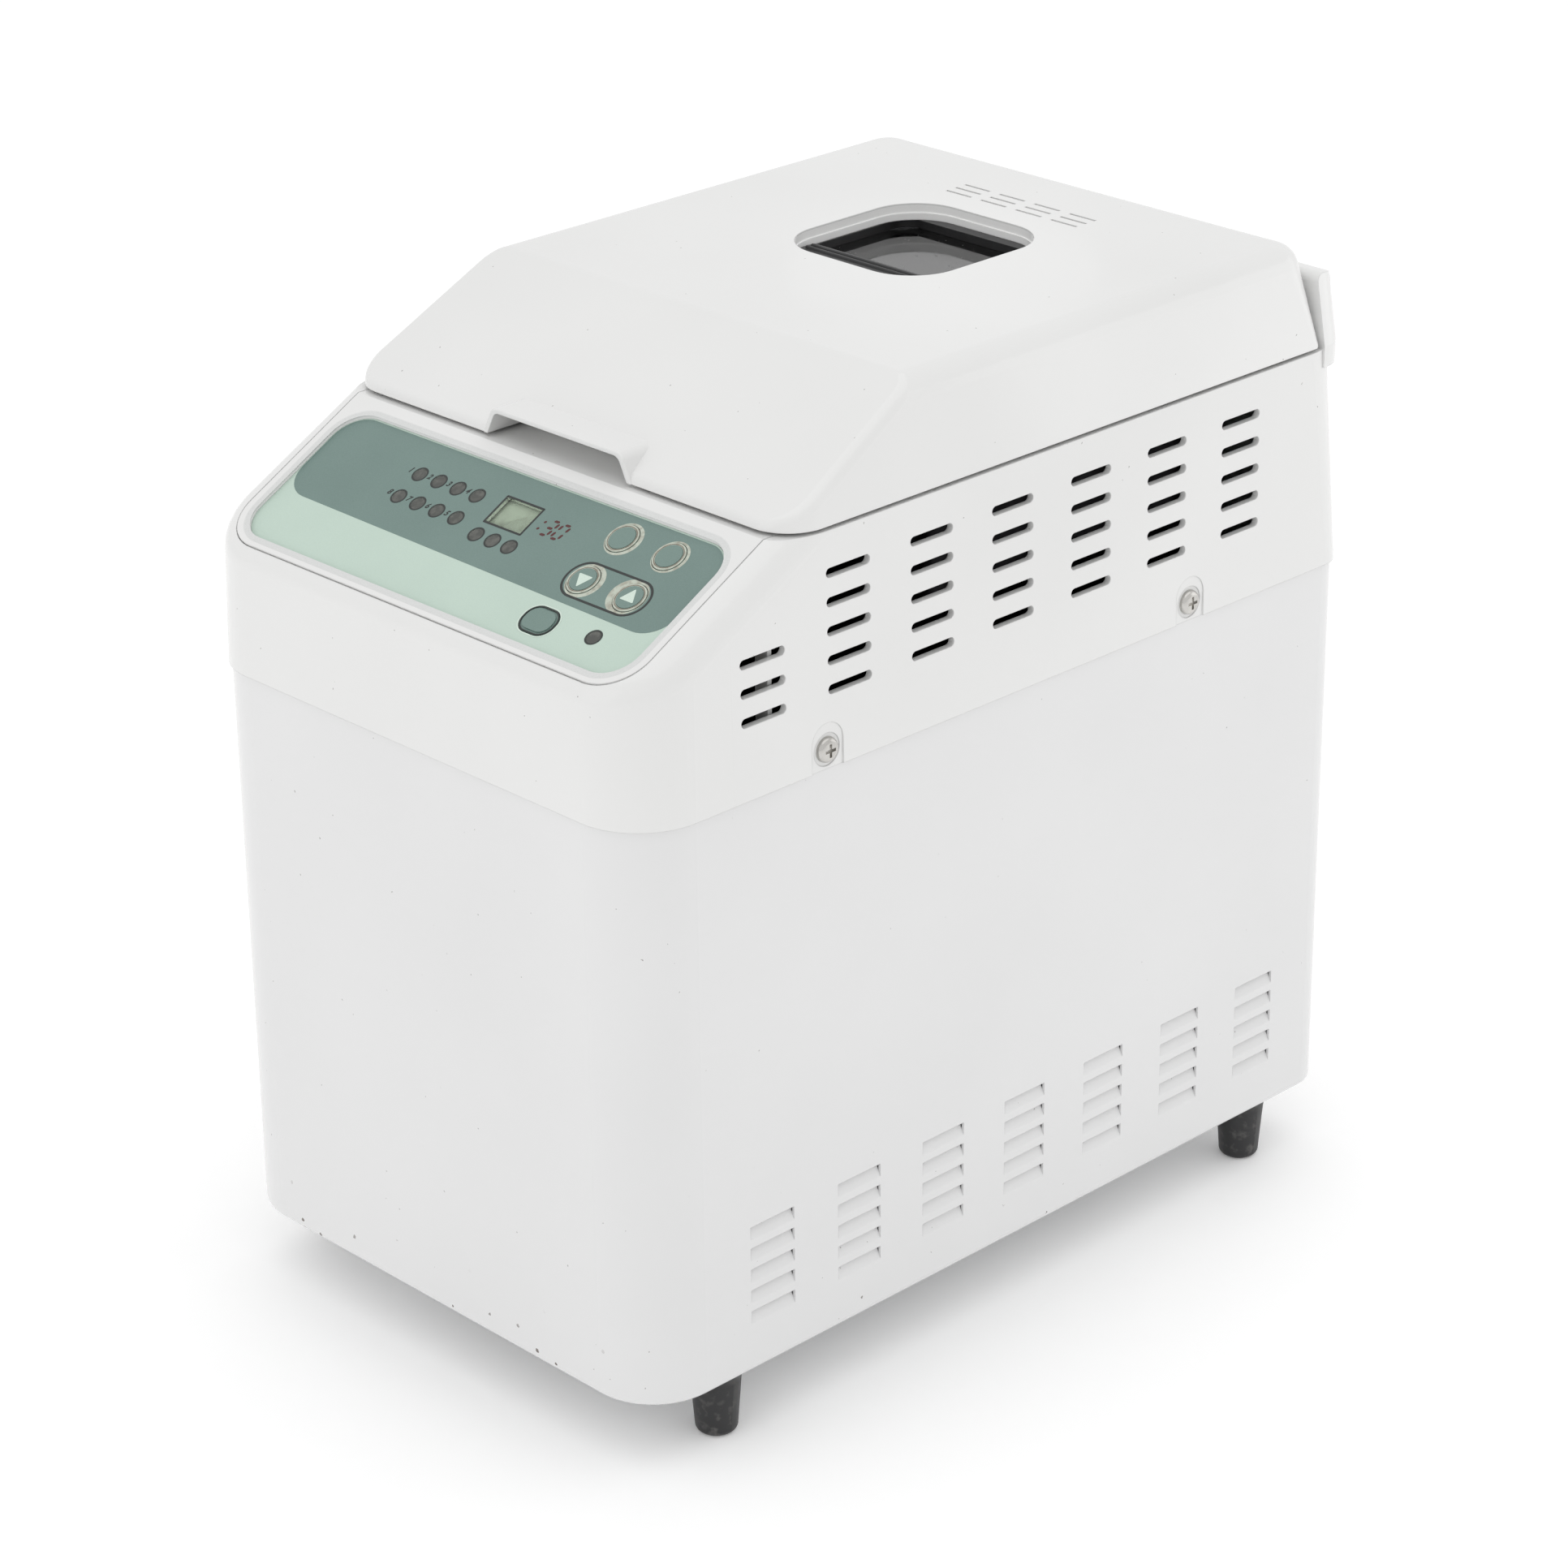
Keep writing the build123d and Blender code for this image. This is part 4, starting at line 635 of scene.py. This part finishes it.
def plate(width, length, corner):
    """A flat plate with round corners at the origin."""
    fresh()
    bpy.ops.mesh.primitive_plane_add(size=1.0)
    piece = bpy.context.object
    edit(piece)
    bpy.ops.transform.resize(value=(width, length, 1.0))
    bpy.ops.mesh.bevel(offset=corner, segments=10, affect="VERTICES")
    bpy.ops.object.mode_set(mode="OBJECT")
    return piece


def cut_to_rim(piece, width, shift=0.0):
    """Leave only the rim of a flat plate; a shift along X takes its hole off centre."""
    edit(piece)
    bpy.ops.mesh.inset(thickness=width, depth=0.0)
    bpy.ops.transform.translate(value=(shift, 0.0, 0.0))
    bpy.ops.mesh.delete(type="FACE")
    bpy.ops.object.mode_set(mode="OBJECT")
    return piece


def apply_modifier(piece, kind, **settings):
    """Add one modifier and apply it."""
    fresh()
    piece.select_set(True)
    bpy.context.view_layer.objects.active = piece
    modifier = piece.modifiers.new(kind.lower(), kind)
    for key, value in settings.items():
        setattr(modifier, key, value)
    bpy.ops.object.modifier_apply(modifier=modifier.name)
    return piece


def thicken(piece, height):
    """Raise a flat piece to a thin solid that stands on the XY plane."""
    return apply_modifier(piece, "SOLIDIFY", thickness=height, offset=1.0)


def soften(piece, radius):
    """Round off the sharp edges of a solid piece."""
    apply_modifier(piece, "BEVEL", width=radius, segments=3, limit_method="ANGLE")
    bpy.ops.object.shade_smooth_by_angle(angle=radians(40))
    return piece


def duplicate(piece):
    """A copy with its own mesh."""
    twin = piece.copy()
    twin.data = piece.data.copy()
    bpy.context.collection.objects.link(twin)
    return twin


def join(pieces, name):
    """Make one piece of several."""
    fresh()
    for piece in pieces:
        piece.select_set(True)
    bpy.context.view_layer.objects.active = pieces[0]
    if len(pieces) > 1:
        bpy.ops.object.join()
    pieces[0].name = name
    return pieces[0]


def remove(piece):
    bpy.data.objects.remove(piece, do_unlink=True)


def move(piece, x, y, z=0.0):
    """Shift a piece's mesh."""
    piece.data.transform(Matrix.Translation((x, y, z)))
    return piece


# Places on the panel

film_low, film_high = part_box("panel_overlay")
slope = radians(panel_angle)
panel_place = Matrix((
    (1.0, 0.0, 0.0, 0.0),
    (0.0, cos(slope), -sin(slope), film_low.y),
    (0.0, sin(slope), cos(slope), film_low.z + film_thickness * cos(slope)),
    (0.0, 0.0, 0.0, 1.0),
))


def settle(piece, name, material, body, lift=0.0):
    """Lay a piece that was made flat onto the panel, dress it and let it ride."""
    piece.name = name
    piece.data.transform(panel_place @ Matrix.Translation((0.0, 0.0, lift)))
    piece.data.materials.clear()
    piece.data.materials.append(material)
    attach(piece, body)
    return piece


def lamp_spots():
    """Middles of the lamps."""
    spots = [(u, v) for v, _ in lamp_rows for u in lamp_columns]
    return spots + shade_lamps + [run_lamp]


# Pieces of the panel

ink_black = printed("black_ink", linear(34, 39, 37))
ink_red = printed("red_ink", linear(76, 24, 23))
ink_brown = printed("brown_line", linear(112, 101, 88))
ink_pale = printed("pale_ink", linear(198, 213, 202))
border_grey = printed("border_grey", linear(203, 204, 203))
# pale film of the button rings, and the painted highlight of the crescents beside them
pale_film_and_highlight = button_ring()


def panel_field():
    """The darker printed field, open round lamps, display and buttons."""
    height = field_high - field_low
    field = plate(field_width, height, field_corner)
    for vertex in field.data.vertices:
        if vertex.co.y < 0.0:
            vertex.co.y -= field_tilt * (vertex.co.x / field_width + 0.5)
    thicken(move(field, 0.0, (field_low + field_high) / 2), ink)
    cutters = [thicken(disc(lamp_hole), 10 * ink)]
    for u, v in lamp_spots()[1:]:
        cutters.append(move(duplicate(cutters[0]), u, v, -5 * ink))
    move(cutters[0], *lamp_spots()[0], -5 * ink)
    for u, v in round_buttons.values():
        cutters.append(move(thicken(disc(button_outer + button_gap), 10 * ink), u, v, -5 * ink))
    window = plate(display_size[0] + 0.2 * mm, display_size[1] + 0.2 * mm, 0.2 * mm)
    cutters.append(move(thicken(window, 10 * ink), *display_place, -5 * ink))
    cutter = join(cutters, "field_cutter")
    apply_modifier(field, "BOOLEAN", operation="DIFFERENCE", object=cutter, solver="EXACT")
    remove(cutter)
    field_film = film("teal_film", linear(114, 137, 131), linear(107, 130, 124))
    settle(field, "panel_field", field_film, "machine", hair)


def lamp_rings():
    """Dark outlines printed round the lamps."""
    ring = thicken(cut_to_rim(disc(lamp_ring), (lamp_ring - lamp_hole) / 2 + 0.05 * mm), ink)
    rings = [move(duplicate(ring), u, v) for u, v in lamp_spots()]
    remove(ring)
    settle(join(rings, "lamp_rings"), "lamp_rings", ink_black, "machine", over_field)


def number(text):
    """A slanted printed number at the origin."""
    fresh()
    bpy.ops.object.text_add()
    words = bpy.context.object
    words.data.body = text
    words.data.size = number_height
    words.data.shear = 0.3
    words.data.offset = number_weight
    words.data.space_character = 0.9
    words.data.align_x = "CENTER"
    words.data.align_y = "CENTER"
    words.data.resolution_u = 4
    bpy.ops.object.convert(target="MESH")
    return thicken(bpy.context.object, ink)


def programme_numbers():
    """Numbers beside the programme lamps."""
    numbers = []
    for v, texts in lamp_rows:
        for u, text in zip(lamp_columns, texts):
            numbers.append(move(number(text), u - number_offset, v + 0.4 * mm))
    settle(join(numbers, "numbers"), "programme_numbers", ink_black, "machine", over_field)


def segment(length):
    """One bar of a digit: a thin lozenge along X."""
    fresh()
    bpy.ops.mesh.primitive_plane_add(size=1.0)
    bar = bpy.context.object
    edit(bar)
    bpy.ops.transform.resize(value=(length, segment_width, 1.0))
    bpy.ops.mesh.bevel(offset=0.49 * segment_width, segments=1, affect="VERTICES")
    bpy.ops.object.mode_set(mode="OBJECT")
    return thicken(bar, ink)


def digit(bars, u):
    """A seven-bar digit; bars are named top, middle, bottom and upper or lower, left or right."""
    half_w = digit_width / 2
    half_h = digit_height / 2
    across = {"top": half_h, "middle": 0.0, "bottom": -half_h}
    upright = {
        "upper_left": (-half_w, half_h / 2),
        "upper_right": (half_w, half_h / 2),
        "lower_left": (-half_w, -half_h / 2),
        "lower_right": (half_w, -half_h / 2),
    }
    pieces = []
    for bar in bars:
        if bar in across:
            pieces.append(move(segment(digit_width - 0.9 * segment_width), u, across[bar]))
        else:
            piece = segment(half_h - 0.9 * segment_width)
            piece.data.transform(Matrix.Rotation(radians(90), 4, "Z"))
            pieces.append(move(piece, u + upright[bar][0], upright[bar][1]))
    return pieces


def minute_digits():
    """The red half-hour mark beside the display."""
    step = digit_width + digit_gap
    three = digit(("top", "middle", "bottom", "upper_right", "lower_right"), 0.0)
    nought = digit(("top", "bottom", "upper_left", "upper_right", "lower_left", "lower_right"), step)
    dots = []
    for v in (-0.25 * digit_height, 0.25 * digit_height):
        dots.append(move(thicken(disc(1.1 * segment_width, 10), ink), -0.75 * step, v))
    mark = join(three + nought + dots, "minute_digits")
    mark.data.transform(Matrix.Shear("XZ", 4, (digit_slant, 0.0)))
    move(mark, *digit_place)
    settle(mark, "minute_digits", ink_red, "machine", over_field)


def display_outline():
    """Dark line round the display window."""
    line = plate(display_size[0] + 2 * display_line, display_size[1] + 2 * display_line, 0.5 * mm)
    thicken(cut_to_rim(line, display_line), ink)
    settle(move(line, *display_place), "display_outline", ink_black, "machine", over_field)


def timer_outline():
    """The dark pill printed round the two timer buttons."""
    down = Vector(round_buttons["timer_down"])
    up = Vector(round_buttons["timer_up"])
    middle = (down + up) / 2
    line = thicken(cut_to_rim(plate(*pill_size, 0.49 * pill_size[1]), pill_line), ink)
    settle(move(line, middle.x, middle.y), "timer_outline", ink_black, "machine", over_field)


def button_rings():
    """Pale rings on the shoulders of the round buttons, each with a brown line."""
    for name, (u, v) in round_buttons.items():
        ring = cut_to_rim(disc(button_outer), (button_outer - button_cap) / 2 - 0.1 * mm)
        soften(thicken(ring, ring_rise), ring_round)
        settle(move(ring, u, v), name + "_ring", pale_film_and_highlight, name, 2 * hair)
        line = thicken(cut_to_rim(disc(button_line_outer), button_line), ink)
        settle(move(line, u, v), name + "_line", ink_brown, name, ring_rise + 2 * hair)


def highlight_crescents():
    """Painted highlight beside the round buttons: pale crescents of film colour, wider on one side."""
    hole = button_outer + button_gap
    for name, (u, v) in round_buttons.items():
        shift = crescent_highlight_shifts[name]
        outer = hole + 2 * abs(shift) + 0.3 * mm
        # a pale crescent as painted highlight
        patch = thicken(cut_to_rim(disc(outer), (outer - hole) / 2, -shift), ink)
        settle(move(patch, u + shift, v), name + "_highlight_crescent", pale_film_and_highlight, "machine", 1.1 * ink)


def start_rim():
    """Dark line on the shoulder of the start button and a pale line round it."""
    rim = cut_to_rim(plate(*start_size, start_corner), start_line)
    soften(thicken(rim, start_rise), 0.4 * start_rise)
    settle(move(rim, *start_place), "start_rim", ink_black, "start", 2 * hair)
    size = (start_size[0] + 2 * start_gap, start_size[1] + 2 * start_gap)
    line = thicken(cut_to_rim(plate(*size, start_corner + start_gap), start_line), ink)
    settle(move(line, *start_place), "start_outline", ink_pale, "machine", ink)


def timer_triangles():
    """Pale triangles on the timer buttons."""
    for name, turn in (("timer_down", -90), ("timer_up", 90)):
        fresh()
        bpy.ops.mesh.primitive_circle_add(vertices=3, radius=triangle_radius, fill_type="NGON")
        mark = bpy.context.object
        corner = max(mark.data.vertices, key=lambda vertex: vertex.co.length).co
        facing = atan2(corner.y, corner.x)
        mark.data.transform(Matrix.Rotation(radians(turn) - facing, 4, "Z"))
        edit(mark)
        bpy.ops.mesh.bevel(offset=triangle_round, segments=4, affect="VERTICES")
        bpy.ops.object.mode_set(mode="OBJECT")
        thicken(move(mark, *round_buttons[name]), triangle_rise)
        settle(mark, name + "_mark", ink_pale, name, button_rise + hair)


def film_border():
    """Grey border on the bezel round the film."""
    width = film_high.x - film_low.x + 2 * border_width
    length = (film_high.y - film_low.y) / cos(slope) + 2 * border_width
    border = thicken(cut_to_rim(plate(width, length, film_corner + border_width), border_width), ink)
    move(border, 0.0, length / 2 - border_width)
    settle(border, "film_border", border_grey, "machine", border_rise + hair)


# Piece of the lid

def ridged_bar():
    """Black bar with two ridges on the window's frame."""
    width, length, height = window_bar
    ridge_length = width - 2 * window_ridge_end
    pieces = [soften(thicken(plate(width, length, 1.0 * mm), height), 0.3 * mm)]
    for place in window_ridges:
        fresh()
        bpy.ops.mesh.primitive_cylinder_add(vertices=16, radius=window_ridge, depth=ridge_length)
        ridge = bpy.context.object
        ridge.data.transform(Matrix.Rotation(radians(90), 4, "Y"))
        soften(ridge, 0.2 * mm)
        pieces.append(move(ridge, 0.0, place - length / 2, height))
    bar = join(pieces, "window_bar")
    move(bar, 0.0, window_bar_front + length / 2, window_bar_low)
    bar.data.materials.clear()
    bar.data.materials.append(finish_of_slot["black_plastic"])
    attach(bar, "lid")


# Stage

def studio_floor():
    """A wide pale floor, lit a little from within like a light table."""
    fresh()
    bpy.ops.mesh.primitive_plane_add(size=24.0)
    floor = bpy.context.object
    floor.name = "studio_floor"
    f = Finish("pale_floor", 0.7)
    tint = f.mix(f.noise(0.8, 2.0), (0.95, 0.95, 0.95, 1.0), (0.94, 0.94, 0.94, 1.0))
    f.feed("Base Color", tint)
    f.feed("Emission Color", tint)
    f.shader.inputs["Emission Strength"].default_value = floor_glow
    floor.data.materials.append(f.material)


def soft_light(name, place, target, size, power, flat=1.0):
    """A soft light turned towards a point: square, or an oval that is flat by a share."""
    light = bpy.data.lights.new(name, "AREA")
    light.shape = "SQUARE" if flat == 1.0 else "ELLIPSE"
    light.size = size
    light.size_y = flat * size
    light.energy = power
    lamp = bpy.data.objects.new(name, light)
    lamp.location = place
    aim = Vector(target) - Vector(place)
    lamp.rotation_euler = aim.to_track_quat("-Z", "Y").to_euler()
    bpy.context.collection.objects.link(lamp)


def studio_light():
    """An even white room with soft lights overhead, at the front left and at the back right."""
    world = bpy.data.worlds.new("white_room")
    world.use_nodes = True
    background = world.node_tree.nodes["Background"]
    background.inputs["Color"].default_value = (1.0, 1.0, 1.0, 1.0)
    background.inputs["Strength"].default_value = room_light
    bpy.context.scene.world = world
    soft_light("overhead", (0.0, 0.0, 2.6), (0.0, 0.0, 0.0), 3.0, 12.0)
    soft_light("front_left", (-0.6, -2.0, 1.0), (0.0, -0.17, 0.15), 1.6, 2.2)
    soft_light("back_right", (0.40, 0.55, 0.38), (0.1, 0.05, 0.18), 0.4, 0.26)
    soft_light("lid_glow", lid_glow_place, lid_glow_spot, 0.21, 0.012, 0.38)


def photo_camera():
    """The camera at the photograph's view."""
    heading = radians(camera_heading)
    tilt = radians(camera_tilt)
    roll = radians(camera_roll)
    forward = Vector((-sin(heading) * cos(tilt), cos(heading) * cos(tilt), -sin(tilt)))
    right = Vector((cos(heading), sin(heading), 0.0))
    up = right.cross(forward)
    level = cos(roll) * right + sin(roll) * up
    rise = cos(roll) * up - sin(roll) * right
    data = bpy.data.cameras.new("photo_camera")
    data.sensor_width = 36.0
    data.lens = camera_lens
    camera = bpy.data.objects.new("photo_camera", data)
    turn = Matrix((level, rise, -forward)).transposed().to_4x4()
    camera.matrix_world = Matrix.Translation(camera_place) @ turn
    bpy.context.collection.objects.link(camera)
    bpy.context.scene.camera = camera
    bpy.context.scene.view_settings.view_transform = "Standard"


dress_nodes()
panel_field()
lamp_rings()
programme_numbers()
minute_digits()
display_outline()
timer_outline()
button_rings()
highlight_crescents()
start_rim()
timer_triangles()
film_border()
ridged_bar()
studio_floor()
studio_light()
photo_camera()
